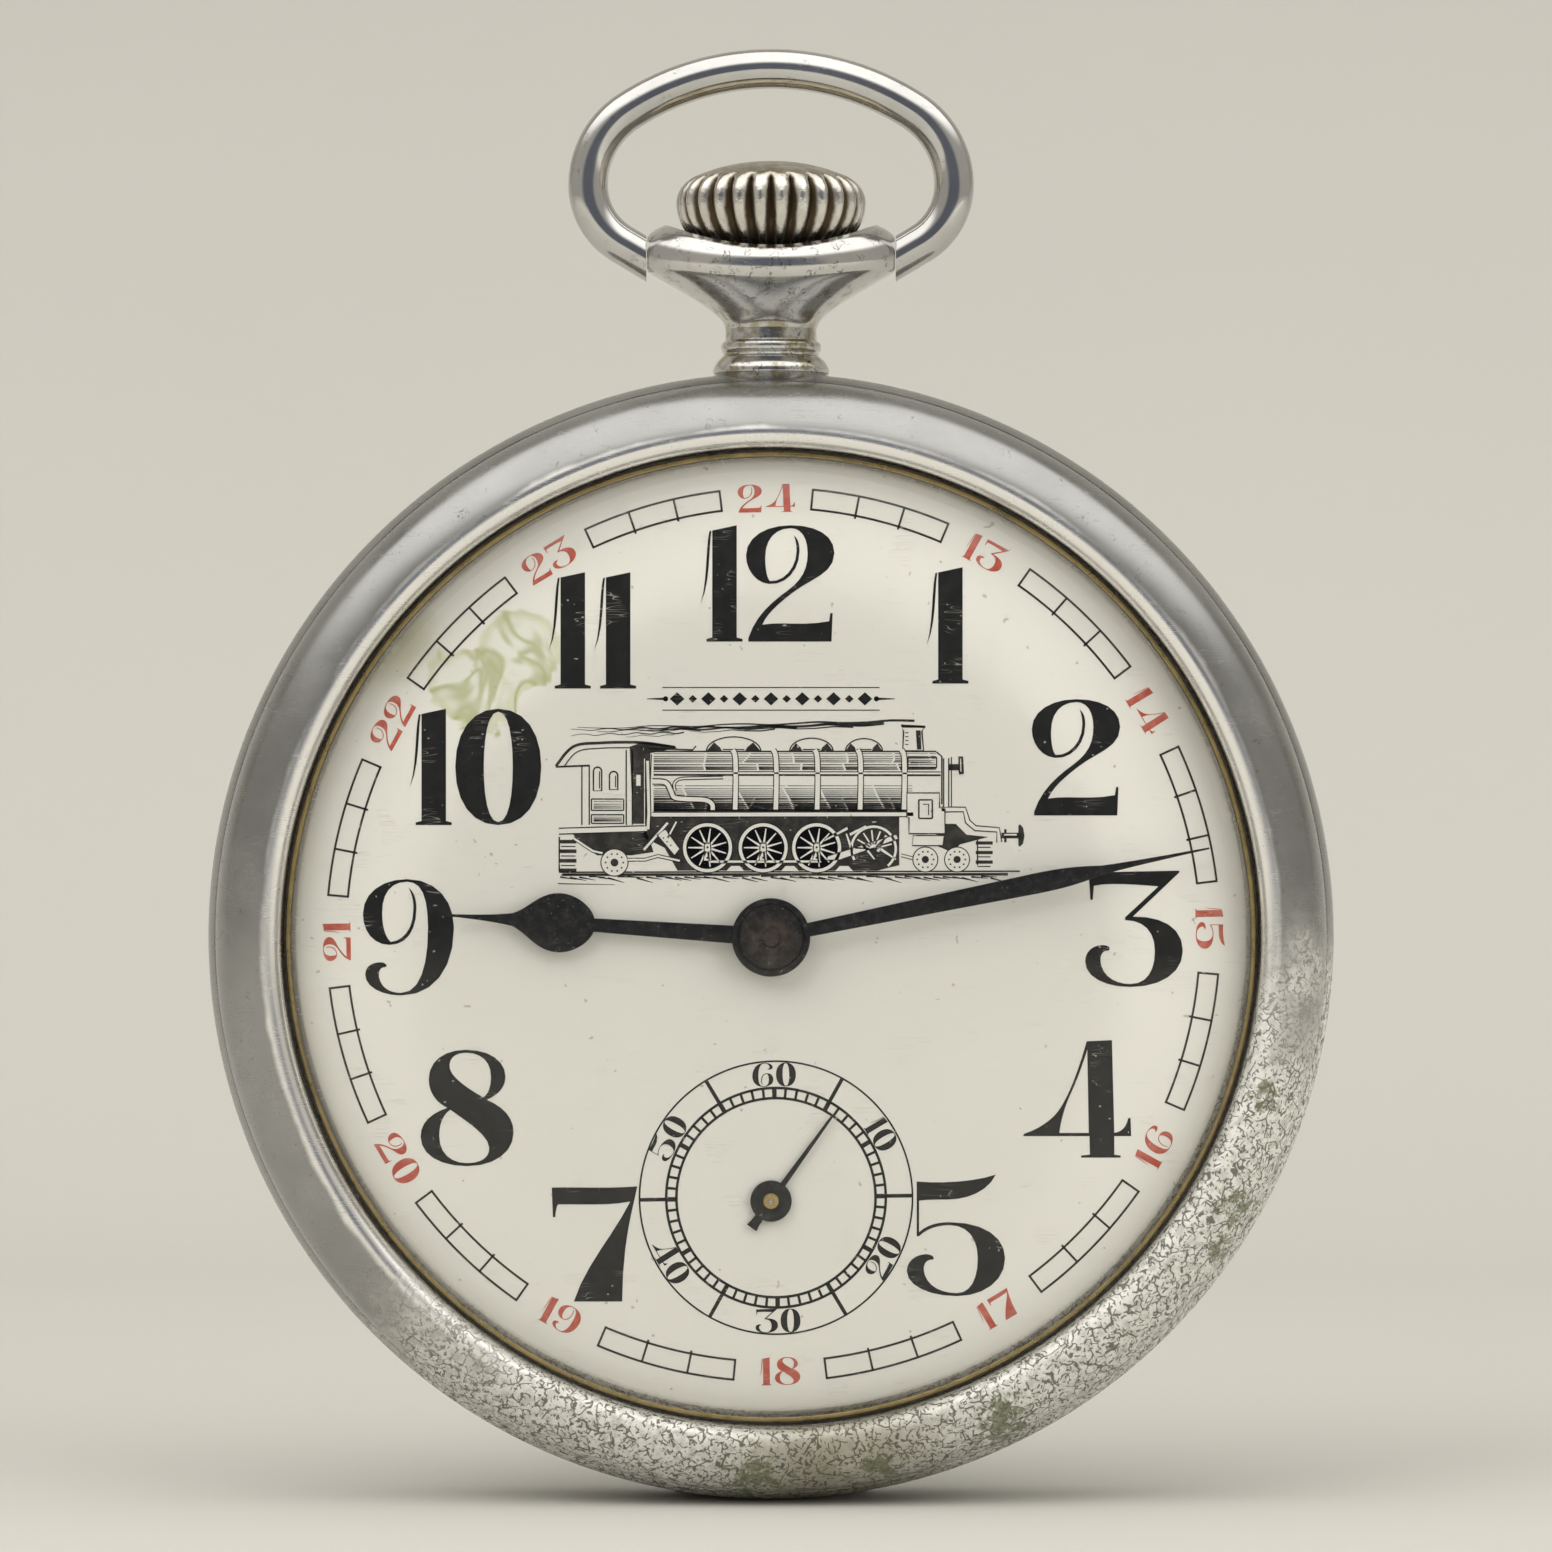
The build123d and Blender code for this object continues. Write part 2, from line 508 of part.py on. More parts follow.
# ---------------------------------------------------------------- frame of the movement
def main_plate():
    plate = disc(PLATE_R, SEAT_Z, PLATE_Z) + disc(FLANGE_R, FLANGE_Z, PLATE_Z)
    below = SEAT_Z - 0.1
    recesses = [
        (8.8, 6.15, BARREL), (6.75, 4.35, CENTRE), (1.6, 6.2, CENTRE), (5.95, 6.05, THIRD),
        (5.1, 4.4, FOURTH), (1.1, 6.2, FOURTH), (2.65, 5.75, ESCAPE), (2.1, 5.75, PALLET),
        (6.3, 5.2, BALANCE), (1.6, 5.75, BALANCE),
    ]
    for radius, depth, at in recesses:
        plate -= disc(radius, below, depth, at)
    plate -= link(PALLET, 1.3, BALANCE, 1.3, below, 5.75)
    plate -= disc(1.15, below, 5.2, PALLET_COCK_SCREW)
    under_dial = [(3.3, CENTRE), (3.05, MINUTE_WHEEL), (3.05, SETTING_WHEEL)]
    for radius, at in under_dial:
        plate -= disc(radius, MOTION_FLOOR_Z, 9, at)
    plate -= link(YOKE, 2.2, (0.1, 14.1), 1.9, LEVER_FLOOR_Z, 9)
    plate -= link(SETTING_LEVER, 1.6, (0.0, 18.8), 1.5, LEVER_FLOOR_Z, 9)
    plate -= block(4.0, 12.0, 5.0, 14.5, LEVER_FLOOR_Z, 9)
    plate -= link(SETTING_WHEEL, 2.6, YOKE, 1.8, 7.78, 9)
    plate -= block(-2.35, 2.35, 11.8, 17.1, 3, 9)
    plate -= block(-0.55, 0.85, 18.0, 20.1, STEM_Z, 9)
    plate -= along_stem(STEM_R + 0.1, 17, 23)
    plate -= along_stem(STEM_PILOT_R + 0.05, 11, 12)
    plate += disc(0.5, LEVER_FLOOR_Z, 7.8, YOKE) + disc(0.5, LEVER_FLOOR_Z, 7.75, SETTING_LEVER)
    plate += disc(0.5, MOTION_FLOOR_Z, 7.8, SETTING_WHEEL) + disc(0.3, MOTION_FLOOR_Z, 7.8, MINUTE_WHEEL)
    plate -= disc(0.83, 6, 7.2, BARREL) + disc(0.62, 6, 9, CENTRE)
    for at in (THIRD, FOURTH, ESCAPE, PALLET, BALANCE):
        plate -= disc(JEWEL_R + 0.01, 5.5, 6.9, at)
    plate -= disc(0.3, 6, 9, FOURTH)
    for at in BARREL_BRIDGE_SCREWS + TRAIN_BRIDGE_SCREWS + [COCK_SCREW, PALLET_COCK_SCREW] + CASE_SCREWS:
        plate -= disc(SHANK_HOLE_R, 3, 6.0, at)
    for at in DIAL_FEET:
        plate -= disc(0.45, 6.5, 9, at)
    return plate


def barrel_bridge():
    outline = polygon(
        (-22, -3.9), (-3.5, -2.9), (-2.4, 2.5), (9.0, 2.5), (11.5, 5.0), (22, 5.0), (22, 22), (-22, 22)
    )
    bridge = disc(BRIDGE_R, BRIDGE_Z, SEAT_Z) & slab(outline, BRIDGE_Z, SEAT_Z)
    bridge -= disc(6.4, 2, WINDING_FLOOR_Z, BARREL) + disc(4.4, 2, WINDING_FLOOR_Z, CROWN_WHEEL)
    bridge -= disc(2.5, 2, WINDING_FLOOR_Z, CLICK) + disc(1.0, 2, WINDING_FLOOR_Z, CLICK_SPRING)
    bridge -= disc(1.2, 2, WINDING_FLOOR_Z, (-10.9, 0.6))
    bridge -= block(-2.35, 2.35, 14.9, 17.1, 3, 5) + disc(1.3, 2, 5, BARREL)
    bridge += disc(0.5, 2.7, WINDING_FLOOR_Z, CLICK)
    bridge -= disc(SHANK_HOLE_R, 2, 5, CROWN_WHEEL)
    for at in BARREL_BRIDGE_SCREWS:
        bridge -= disc(SHANK_HOLE_R, 2, 5, at) + disc(HEAD_R + 0.05, 2, 2.95, at)
    for at in CASE_SCREWS:
        bridge -= disc(1.7, 2, 5, at)
    return bridge


def train_bridge():
    outline = polygon(
        (-22, -4.3), (-2.9, -3.3), (-1.8, 2.1), (3.2, 2.1), (5.0, -2.0), (12, -6), (7.3, -16.5), (7.6, -22), (-22, -22)
    )
    bridge = disc(BRIDGE_R, BRIDGE_Z, SEAT_Z) & slab(outline, BRIDGE_Z, SEAT_Z)
    bridge -= disc(6.15, 2, 5, BALANCE)
    bridge -= disc(0.62, 2, 5, CENTRE)
    for at in (THIRD, FOURTH, ESCAPE):
        bridge -= disc(JEWEL_R + 0.01, 2, 5, at)
    for at in TRAIN_BRIDGE_SCREWS:
        bridge -= disc(SHANK_HOLE_R, 2, 5, at) + disc(HEAD_R + 0.05, 2, 2.95, at)
    for at in CASE_SCREWS:
        bridge -= disc(1.7, 2, 5, at)
    return bridge


def balance_cock():
    cock = link(COCK_SCREW, 3.0, BALANCE, 1.6, COCK_Z, 3.4)
    cock += disc(3.0, 3.4, SEAT_Z, COCK_SCREW)
    cock -= disc(JEWEL_R + 0.01, 2, 5, BALANCE)
    cock -= disc(SHANK_HOLE_R, 2, 5, COCK_SCREW) + disc(HEAD_R + 0.05, 2, 2.65, COCK_SCREW)
    return cock - disc(STUD_R + RUN, 2, 5, HAIRSPRING_STUD)


def pallet_cock():
    cock = link(PALLET_COCK_SCREW, 1.0, PALLET, 0.75, 4.85, 5.2)
    return cock - disc(JEWEL_R - 0.14, 4, 6, PALLET) - disc(0.33, 4, 6, PALLET_COCK_SCREW)


def bridge_screws():
    screws = [
        slotted_screw(at, 2.4, HEAD_R, HEAD_H, SHANK_R, 5.6, 25 + 40 * n)
        for n, at in enumerate(BARREL_BRIDGE_SCREWS + TRAIN_BRIDGE_SCREWS)
    ]
    screws.append(slotted_screw(COCK_SCREW, 2.1, HEAD_R, HEAD_H, SHANK_R, 5.6, 70))
    screws.append(slotted_screw(CROWN_WHEEL, 2.3, 1.5, 0.34, SHANK_R, SEAT_Z, 10))
    screws.append(slotted_screw(PALLET_COCK_SCREW, 4.72, 0.5, 0.12, 0.28, 5.9, 40))
    return Compound(screws)


def case_screws():
    return Compound([slotted_screw(at, 3.25, 1.35, 0.52, SHANK_R, 5.6, 60) for at in CASE_SCREWS])


def ratchet_screw():
    return slotted_screw(BARREL, 2.25, 1.3, 0.38, 0.5, 4.2, 35)


def jewel(at, z0, z1, radius=JEWEL_R, hole=PIVOT_R + 0.02):
    return ring(radius, hole, z0, z1, at)


def jewels():
    stones = [jewel(at, 3.2, 3.6) for at in (THIRD, FOURTH, ESCAPE)]
    stones += [jewel(at, 6.3, 6.7) for at in (THIRD, ESCAPE, BALANCE)]
    stones.append(jewel(PALLET, 6.0, 6.3))
    stones.append(jewel(FOURTH, 6.3, 6.7, hole=0.2))
    stones.append(jewel(BALANCE, 2.9, 3.3))
    stones.append(jewel(PALLET, 4.86, 5.1, radius=JEWEL_R - 0.15))
    return Compound(stones)


# ---------------------------------------------------------------- power and going train
def barrel_drum():
    drum = disc(8.0, *BARREL_Z, BARREL)
    drum += gear(BARREL_TEETH, BARREL_MODULE, BARREL, BARREL_TEETH_Z, BARREL_PHASE)
    drum -= disc(7.4, BARREL_Z[0] - 1, 5.75, BARREL)
    return drum - disc(0.9, 4, 7, BARREL)


def barrel_cover():
    return ring(7.35, 1.3, 4.55, 4.85, BARREL)


def mainspring():
    return spiral(1.9, 7.1, 11, 0.17, BARREL, (4.95, 5.65))


def barrel_arbor():
    shaft = arbor(BARREL, (0.8, 5.75, 7.1), (1.45, 4.95, 5.7), (1.2, 3.2, 4.95), (0.8, 5.7, 5.75))
    shaft += Pos(*BARREL, 2.95) * Rot(0, 0, 20) * Box(1.6, 1.6, 0.55)
    shaft += disc(0.35, 5.1, 5.5, (BARREL[0] + 1.4, BARREL[1]))
    return shaft - disc(0.52, 2, 4.3, BARREL)


def train_wheel(teeth, module, at, levels, phase, hub_r, hole_r):
    wheel = gear(teeth, module, at, levels, phase)
    rim_r = teeth * module / 2 - 3.6 * module
    wheel -= windows(rim_r, hub_r, 5, 0.45, at, levels)
    return wheel - disc(hole_r, levels[0] - 1, levels[1] + 1, at)


def leaves(teeth, module, at, levels, phase):
    return gear(teeth, module, at, levels, phase, 0.34)


def centre_wheel():
    return train_wheel(CENTRE_TEETH, CENTRE_MODULE, CENTRE, CENTRE_WHEEL_Z, CENTRE_PHASE, 1.4, 0.82)


def centre_arbor():
    shaft = arbor(CENTRE, (0.6, 2.75, 3.85), (0.8, 3.85, 5.3), (0.6, 6.1, 6.9), (0.4, 6.9, 10.3))
    return shaft + leaves(CENTRE_LEAVES, BARREL_MODULE, CENTRE, (5.3, 6.1), CENTRE_PINION_PHASE)


def third_wheel():
    return train_wheel(THIRD_TEETH, THIRD_MODULE, THIRD, THIRD_WHEEL_Z, THIRD_PHASE, 1.0, 0.42)


def third_arbor():
    shaft = arbor(THIRD, (PIVOT_R, 3.25, 3.7), (0.4, 3.7, 3.86), (0.4, 4.34, 6.1), (PIVOT_R, 6.1, 6.65))
    return shaft + leaves(THIRD_LEAVES, CENTRE_MODULE, THIRD, (3.86, 4.34), THIRD_PINION_PHASE)


def fourth_wheel():
    return train_wheel(FOURTH_TEETH, FOURTH_MODULE, FOURTH, FOURTH_WHEEL_Z, FOURTH_PHASE, 0.9, 0.42)


def fourth_arbor():
    shaft = arbor(FOURTH, (PIVOT_R, 3.25, 3.7), (0.4, 3.7, 5.6), (0.17, 6.1, 9.3))
    return shaft + leaves(FOURTH_LEAVES, THIRD_MODULE, FOURTH, (5.6, 6.1), FOURTH_PINION_PHASE)


def escape_wheel():
    """Club-toothed wheel: fifteen slender teeth that lean into the turn."""
    points = []
    for tooth in range(ESCAPE_TEETH):
        at = ESCAPE_PHASE + tooth * 360 / ESCAPE_TEETH
        points += [polar(r, at + lean) for r, lean in ((1.75, -7), (2.3, 1.5), (2.4, 4.5), (2.12, 4.0), (1.75, 5))]
    wheel = slab(Pos(*ESCAPE, 0) * polygon(*points), *ESCAPE_Z)
    wheel -= windows(1.5, 0.65, 4, 0.3, ESCAPE, ESCAPE_Z)
    return wheel - disc(0.27, 5, 6, ESCAPE)


def escape_arbor():
    shaft = arbor(ESCAPE, (PIVOT_R, 3.25, 3.7), (0.25, 3.7, 3.95), (0.25, 4.35, 6.1), (PIVOT_R, 6.1, 6.65))
    return shaft + leaves(ESCAPE_LEAVES, FOURTH_MODULE, ESCAPE, (3.95, 4.35), ESCAPE_PINION_PHASE)


# ---------------------------------------------------------------- escapement
def pallet_fork():
    way = bearing(PALLET, BALANCE)
    lever = link(PALLET, 0.45, polar(3.1, way, PALLET), 0.22, *ESCAPE_Z)
    for side in (-1, 1):
        horn = polar(3.75, way + side * 7.5, PALLET)
        arm = polar(1.75, way + 180 + side * 62, PALLET)
        lever += link(polar(3.1, way, PALLET), 0.22, horn, 0.12, *ESCAPE_Z)
        lever += link(PALLET, 0.4, arm, 0.28, *ESCAPE_Z)
    lever += disc(0.2, 5.15, 5.8, PALLET) + disc(0.1, 4.9, 5.15, PALLET) + disc(0.1, 5.8, 6.25, PALLET)
    return lever - pallet_stone_blocks() - disc(2.62, 5, 6, ESCAPE)


def pallet_stone_blocks():
    way = bearing(PALLET, ESCAPE)
    blocks = []
    for side in (-1, 1):
        seat = polar(1.75, way + side * 62, PALLET)
        stone = Pos(0.15, 0, 0) * Box(0.8, 0.24, 0.26)
        blocks.append(Pos(*seat, sum(ESCAPE_Z) / 2) * Rot(0, 0, way + side * 10) * stone)
    return blocks


def pallet_stones():
    """Two ruby blocks let into the lever's arms, one each side of the escape wheel."""
    return Compound([stone - disc(2.46, 5, 6, ESCAPE) for stone in pallet_stone_blocks()])


def balance_wheel():
    rim = ring(5.7, 5.2, *BALANCE_Z, BALANCE)
    arm = Pos(*BALANCE, 4.4) * Rot(0, 0, BALANCE_ARM_TURN) * Box(10.7, 0.9, 0.28)
    hub = disc(0.9, 4.2, 4.6, BALANCE)
    return rim + arm + hub - disc(0.42, 4, 5, BALANCE) - around_balance(along_x(0.12, 5.3, 6.0, 0, 4.35))


def around_balance(piece):
    """Copies of a piece at each of the rim's screws."""
    step = 360 / BALANCE_SCREWS
    return [Pos(*BALANCE, 0) * Rot(0, 0, BALANCE_ARM_TURN + step * n) * piece for n in range(BALANCE_SCREWS)]


def balance_screws():
    return Compound(around_balance(along_x(0.1, 5.35, 5.75, 0, 4.35) + along_x(0.22, 5.71, 6.0, 0, 4.35)))


def balance_staff():
    """The staff with its roller table."""
    return arbor(
        BALANCE, (0.1, 2.95, 3.45), (0.3, 3.45, 4.2), (0.4, 4.2, 4.95), (1.15, 4.95, 5.1),
        (0.3, 5.1, 6.0), (0.1, 6.0, 6.65),
    )


def roller_jewel():
    return disc(0.14, 5.1, 5.34, polar(0.85, bearing(BALANCE, PALLET), BALANCE))


def hairspring():
    return spiral(0.55, 3.0, 11, 0.05, BALANCE, HAIRSPRING_Z, start=62.0, steps=24)


def hairspring_stud():
    return disc(0.3, 3.42, 3.85, HAIRSPRING_STUD) + disc(STUD_R, 2.5, 3.42, HAIRSPRING_STUD)


def regulator():
    way = bearing(BALANCE, COCK_SCREW)
    dial = ring(1.3, JEWEL_R + 0.2, 2.05, 2.27, BALANCE)
    return dial + link(polar(1.1, way, BALANCE), 0.3, polar(4.6, way, BALANCE), 0.12, 2.05, 2.27)


# ---------------------------------------------------------------- wheels of the hands
def cannon_pinion():
    tube = disc(0.68, 6.92, 9.9) + leaves(CANNON_LEAVES, MINUTE_MODULE, CENTRE, (6.92, 7.42), CANNON_PHASE)
    return tube - disc(0.4 + RUN, 6, 11)


def minute_wheel():
    wheel = gear(MINUTE_TEETH, MINUTE_MODULE, MINUTE_WHEEL, MINUTE_WHEEL_Z, MINUTE_PHASE)
    wheel += leaves(MINUTE_LEAVES, HOUR_MODULE, MINUTE_WHEEL, (7.2, 7.95), MINUTE_PINION_PHASE)
    return wheel - disc(0.3 + RUN, 6, 8.5, MINUTE_WHEEL)


def hour_wheel():
    wheel = gear(HOUR_TEETH, HOUR_MODULE, CENTRE, HOUR_WHEEL_Z, HOUR_PHASE) + disc(0.93, 7.5, 9.72)
    return wheel - disc(0.74, 7, 10)


# ---------------------------------------------------------------- dial and hands
def dial():
    plate = disc(DIAL_R, *DIAL_Z)
    plate = fillet(plate.edges().group_by(Axis.Z)[-1], 0.25)
    for at in DIAL_FEET:
        plate += disc(0.4, 6.6, DIAL_Z[0], at)
    return plate - disc(1.15, 8, 9, CENTRE) - disc(0.45, 8, 9, FOURTH)


def dial_rim():
    """Gilt ring around the dial, seen as a thin line inside the bezel."""
    return ring(22.42, 22.1, PLATE_Z + 0.02, 9.05)


def hand_face(outline):
    """A hand pointing to 12, from the half outline on its right side, base first."""
    left = [(-x, y) for x, y in reversed(outline) if x > 0]
    return polygon(*outline, *left)


def pear_outline():
    """Right half of the hour hand: a slim shank, a pear and a drawn-out point."""
    shank = [(0.42, 1.2), (0.31, 8.0)]
    pear = [
        (0.31 + 1.04 * math.sin(math.pi / 2 * t) ** 1.3, 8.0 + 1.9 * t) for t in (0.2, 0.4, 0.6, 0.8, 1.0)
    ]
    taper = [(0.09 + 1.26 * (1 - t) ** 2.1 * (1 + 0.9 * t), 9.9 + 3.0 * t) for t in (0.2, 0.4, 0.6, 0.8, 1.0)]
    return shank + pear + taper + [(0.0, HOUR_HAND_LENGTH)]


def hour_hand():
    blade = slab(hand_face(pear_outline()), *HOUR_HAND_Z) + disc(1.55, 9.45, HOUR_HAND_Z[1])
    return Rot(0, 0, -HOUR_ANGLE) * blade - disc(0.93 + RUN, 9, 11)


def minute_hand():
    outline = [(0.31, 1.2), (0.47, 12.0), (0.46, 13.6), (0.2, 15.6), (0.1, 17.5), (0.0, MINUTE_HAND_LENGTH)]
    blade = slab(hand_face(outline), *MINUTE_HAND_Z) + disc(1.8, 9.93, 10.22)
    blade += ring(1.5, 0.42, 10.22, 10.3)
    return Rot(0, 0, -MINUTE_ANGLE) * blade - disc(0.4 + RUN, 9, 11)


def seconds_hand():
    needle = slab(hand_face([(0.14, 0.5), (0.05, 4.9)]), *SECONDS_HAND_Z)
    tail = slab(hand_face([(0.28, -1.4), (0.2, -0.5)]), *SECONDS_HAND_Z) + disc(0.28, *SECONDS_HAND_Z, (0, -1.4))
    hub = disc(0.95, *SECONDS_HAND_Z) + disc(0.37, 8.95, 9.36)
    hand = Rot(0, 0, -SECONDS_ANGLE) * (needle + tail + hub)
    return Pos(*FOURTH, 0) * (hand - disc(0.17 + RUN, 8, 10))


# ---------------------------------------------------------------- how the teeth stand at rest
BARREL_PHASE = 0.0
CENTRE_PINION_PHASE = mesh_phase(BARREL, BARREL_TEETH, BARREL_PHASE, CENTRE, CENTRE_LEAVES)
CENTRE_PHASE = 0.0
THIRD_PINION_PHASE = mesh_phase(CENTRE, CENTRE_TEETH, CENTRE_PHASE, THIRD, THIRD_LEAVES)
THIRD_PHASE = 0.0
FOURTH_PINION_PHASE = mesh_phase(THIRD, THIRD_TEETH, THIRD_PHASE, FOURTH, FOURTH_LEAVES)
FOURTH_PHASE = 0.0
ESCAPE_PINION_PHASE = mesh_phase(FOURTH, FOURTH_TEETH, FOURTH_PHASE, ESCAPE, ESCAPE_LEAVES)
ESCAPE_PHASE = bearing(ESCAPE, PALLET) - ESCAPE_LEAD
CANNON_PHASE = 0.0
MINUTE_PHASE = mesh_phase(CENTRE, CANNON_LEAVES, CANNON_PHASE, MINUTE_WHEEL, MINUTE_TEETH)
MINUTE_PINION_PHASE = 0.0
HOUR_PHASE = mesh_phase(MINUTE_WHEEL, MINUTE_LEAVES, MINUTE_PINION_PHASE, CENTRE, HOUR_TEETH)
SETTING_PHASE = mesh_phase(MINUTE_WHEEL, MINUTE_TEETH, MINUTE_PHASE, SETTING_WHEEL, SETTING_TEETH)
CROWN_WHEEL_PHASE = 0.0
RATCHET_PHASE = mesh_phase(CROWN_WHEEL, CROWN_WHEEL_TEETH, CROWN_WHEEL_PHASE, BARREL, RATCHET_TEETH)

SUB_PARTS = [
    case_band, rear_cover, hinge_pin, bezel, crystal, pendant, bow, crown,
    stem, winding_pinion, sliding_pinion, setting_lever, yoke, yoke_spring, setting_wheel, keyless_cover,
    crown_wheel, crown_wheel_core, ratchet_wheel, ratchet_screw, click, click_spring,
    main_plate, barrel_bridge, train_bridge, balance_cock, pallet_cock, bridge_screws, case_screws, jewels,
    barrel_drum, barrel_cover, mainspring, barrel_arbor, centre_wheel, centre_arbor, third_wheel, third_arbor,
    fourth_wheel, fourth_arbor, escape_wheel, escape_arbor, pallet_fork, pallet_stones,
    balance_wheel, balance_screws, balance_staff, roller_jewel, hairspring, hairspring_stud, regulator,
    cannon_pinion, minute_wheel, hour_wheel, dial, dial_rim, hour_hand, minute_hand, seconds_hand,
]

os.makedirs("parts", exist_ok=True)
for sub_part in SUB_PARTS:
    export_step(UPRIGHT * sub_part(), f"parts/{sub_part.__name__}.step")
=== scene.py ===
import json
import math

import bmesh
import bpy
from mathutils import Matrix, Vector


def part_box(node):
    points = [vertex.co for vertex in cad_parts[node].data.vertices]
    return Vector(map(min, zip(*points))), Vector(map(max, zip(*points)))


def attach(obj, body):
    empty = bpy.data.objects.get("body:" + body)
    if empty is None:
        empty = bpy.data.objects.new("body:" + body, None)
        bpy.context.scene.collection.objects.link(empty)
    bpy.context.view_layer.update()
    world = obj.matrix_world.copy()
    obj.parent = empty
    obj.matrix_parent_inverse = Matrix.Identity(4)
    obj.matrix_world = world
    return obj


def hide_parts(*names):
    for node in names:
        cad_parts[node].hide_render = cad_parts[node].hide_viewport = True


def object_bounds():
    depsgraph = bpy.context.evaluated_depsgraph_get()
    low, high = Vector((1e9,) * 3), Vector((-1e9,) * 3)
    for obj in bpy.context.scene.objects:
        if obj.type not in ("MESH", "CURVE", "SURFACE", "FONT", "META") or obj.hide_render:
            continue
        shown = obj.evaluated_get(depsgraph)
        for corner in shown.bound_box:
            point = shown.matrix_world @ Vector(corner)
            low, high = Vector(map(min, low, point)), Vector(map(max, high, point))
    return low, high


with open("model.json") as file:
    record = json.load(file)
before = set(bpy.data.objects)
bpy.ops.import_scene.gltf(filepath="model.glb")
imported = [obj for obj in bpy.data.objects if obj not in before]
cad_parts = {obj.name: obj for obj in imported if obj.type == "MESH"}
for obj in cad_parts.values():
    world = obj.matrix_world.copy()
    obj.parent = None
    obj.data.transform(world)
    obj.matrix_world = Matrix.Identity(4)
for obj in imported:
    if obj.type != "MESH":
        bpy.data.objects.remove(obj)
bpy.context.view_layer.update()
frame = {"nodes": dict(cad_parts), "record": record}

# ---------------------------------------------------------------- sizes, in millimetres, read from the frame
MM = 0.001
STEM_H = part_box("rear_cover")[1].y / MM            # height of the stem above the flat of the rear cover
DIAL_H = STEM_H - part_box("dial")[0].y / MM         # height of the dial's front
CASE_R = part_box("case_band")[1].x / MM
CROWN_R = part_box("crown")[1].x / MM
BEZEL_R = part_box("bezel")[1].x / MM
CRYSTAL_H = STEM_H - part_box("crystal")[0].y / MM
DIAL_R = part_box("dial")[1].x / MM
FLOOR_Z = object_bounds()[0][2]
INK_H = 0.012                                      # thickness of the dial's printing
SEGMENTS = 288                                     # round the case


# ---------------------------------------------------------------- shapes
def on_dial(radius, height, angle):
    """A point turned about the hands' axis; the height is counted from the rear cover's flat."""
    return (radius * math.cos(angle), STEM_H - height, radius * math.sin(angle))


def on_stem(radius, up, angle):
    return (radius * math.cos(angle), radius * math.sin(angle), up)


def arc3(a, b, c, steps):
    """Points of the arc from a through b to c."""
    ax, ay, bx, by, cx, cy = *a, *b, *c
    d = 2 * (ax * (by - cy) + bx * (cy - ay) + cx * (ay - by))
    ux = ((ax**2 + ay**2) * (by - cy) + (bx**2 + by**2) * (cy - ay) + (cx**2 + cy**2) * (ay - by)) / d
    uy = ((ax**2 + ay**2) * (cx - bx) + (bx**2 + by**2) * (ax - cx) + (cx**2 + cy**2) * (bx - ax)) / d
    radius = math.hypot(ax - ux, ay - uy)
    t0, t1, t2 = (math.atan2(y - uy, x - ux) for x, y in (a, b, c))
    sweep = (t2 - t0) % math.tau
    if (t1 - t0) % math.tau > sweep:
        sweep -= math.tau
    turns = [t0 + sweep * n / steps for n in range(steps + 1)]
    return [(ux + radius * math.cos(t), uy + radius * math.sin(t)) for t in turns]


def rounded(corners, steps=4):
    """A closed outline; a corner given as (x, y, radius) is rounded off."""
    out = []
    for n, corner in enumerate(corners):
        here = Vector(corner[:2])
        if len(corner) < 3:
            out.append(tuple(here))
            continue
        before = (Vector(corners[n - 1][:2]) - here).normalized()
        after = (Vector(corners[(n + 1) % len(corners)][:2]) - here).normalized()
        start, end = here + before * corner[2], here + after * corner[2]
        for k in range(steps + 1):
            t = k / steps
            out.append(tuple(start * (1 - t) ** 2 + here * 2 * t * (1 - t) + end * t**2))
    return out


def smooth_rows(rows, steps):
    """Catmull-Rom points through rows of numbers."""
    out = []
    for n in range(len(rows) - 1):
        p0, p1, p2, p3 = (rows[min(max(n + k, 0), len(rows) - 1)] for k in (-1, 0, 1, 2))
        for k in range(steps):
            t = k / steps
            out.append(tuple(
                0.5 * (2 * b + (c - a) * t + (2 * a - 5 * b + 4 * c - d) * t**2
                       + (3 * b - a - 3 * c + d) * t**3)
                for a, b, c, d in zip(p0, p1, p2, p3)
            ))
    return out + [tuple(rows[-1])]


def piece(name, verts, faces, mat, body, replaces=(), slot=None, sharp=32.0, values=None):
    """A mesh object from millimetre vertices, smooth except at its sharp edges, riding on a body."""
    mesh = bpy.data.meshes.new(name)
    mesh.from_pydata([tuple(c * MM for c in v) for v in verts], [], faces)
    for key, numbers in (values or {}).items():
        mesh.attributes.new(key, "FLOAT", "POINT").data.foreach_set("value", numbers)
    work = bmesh.new()
    work.from_mesh(mesh)
    bmesh.ops.recalc_face_normals(work, faces=work.faces)
    work.to_mesh(mesh)
    work.free()
    mesh.shade_smooth()
    mesh.set_sharp_from_angle(angle=math.radians(sharp))
    mesh.materials.append(mat)
    obj = bpy.data.objects.new(name, mesh)
    bpy.context.scene.collection.objects.link(obj)
    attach(obj, body)
    if replaces:
        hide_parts(*replaces)
    return obj


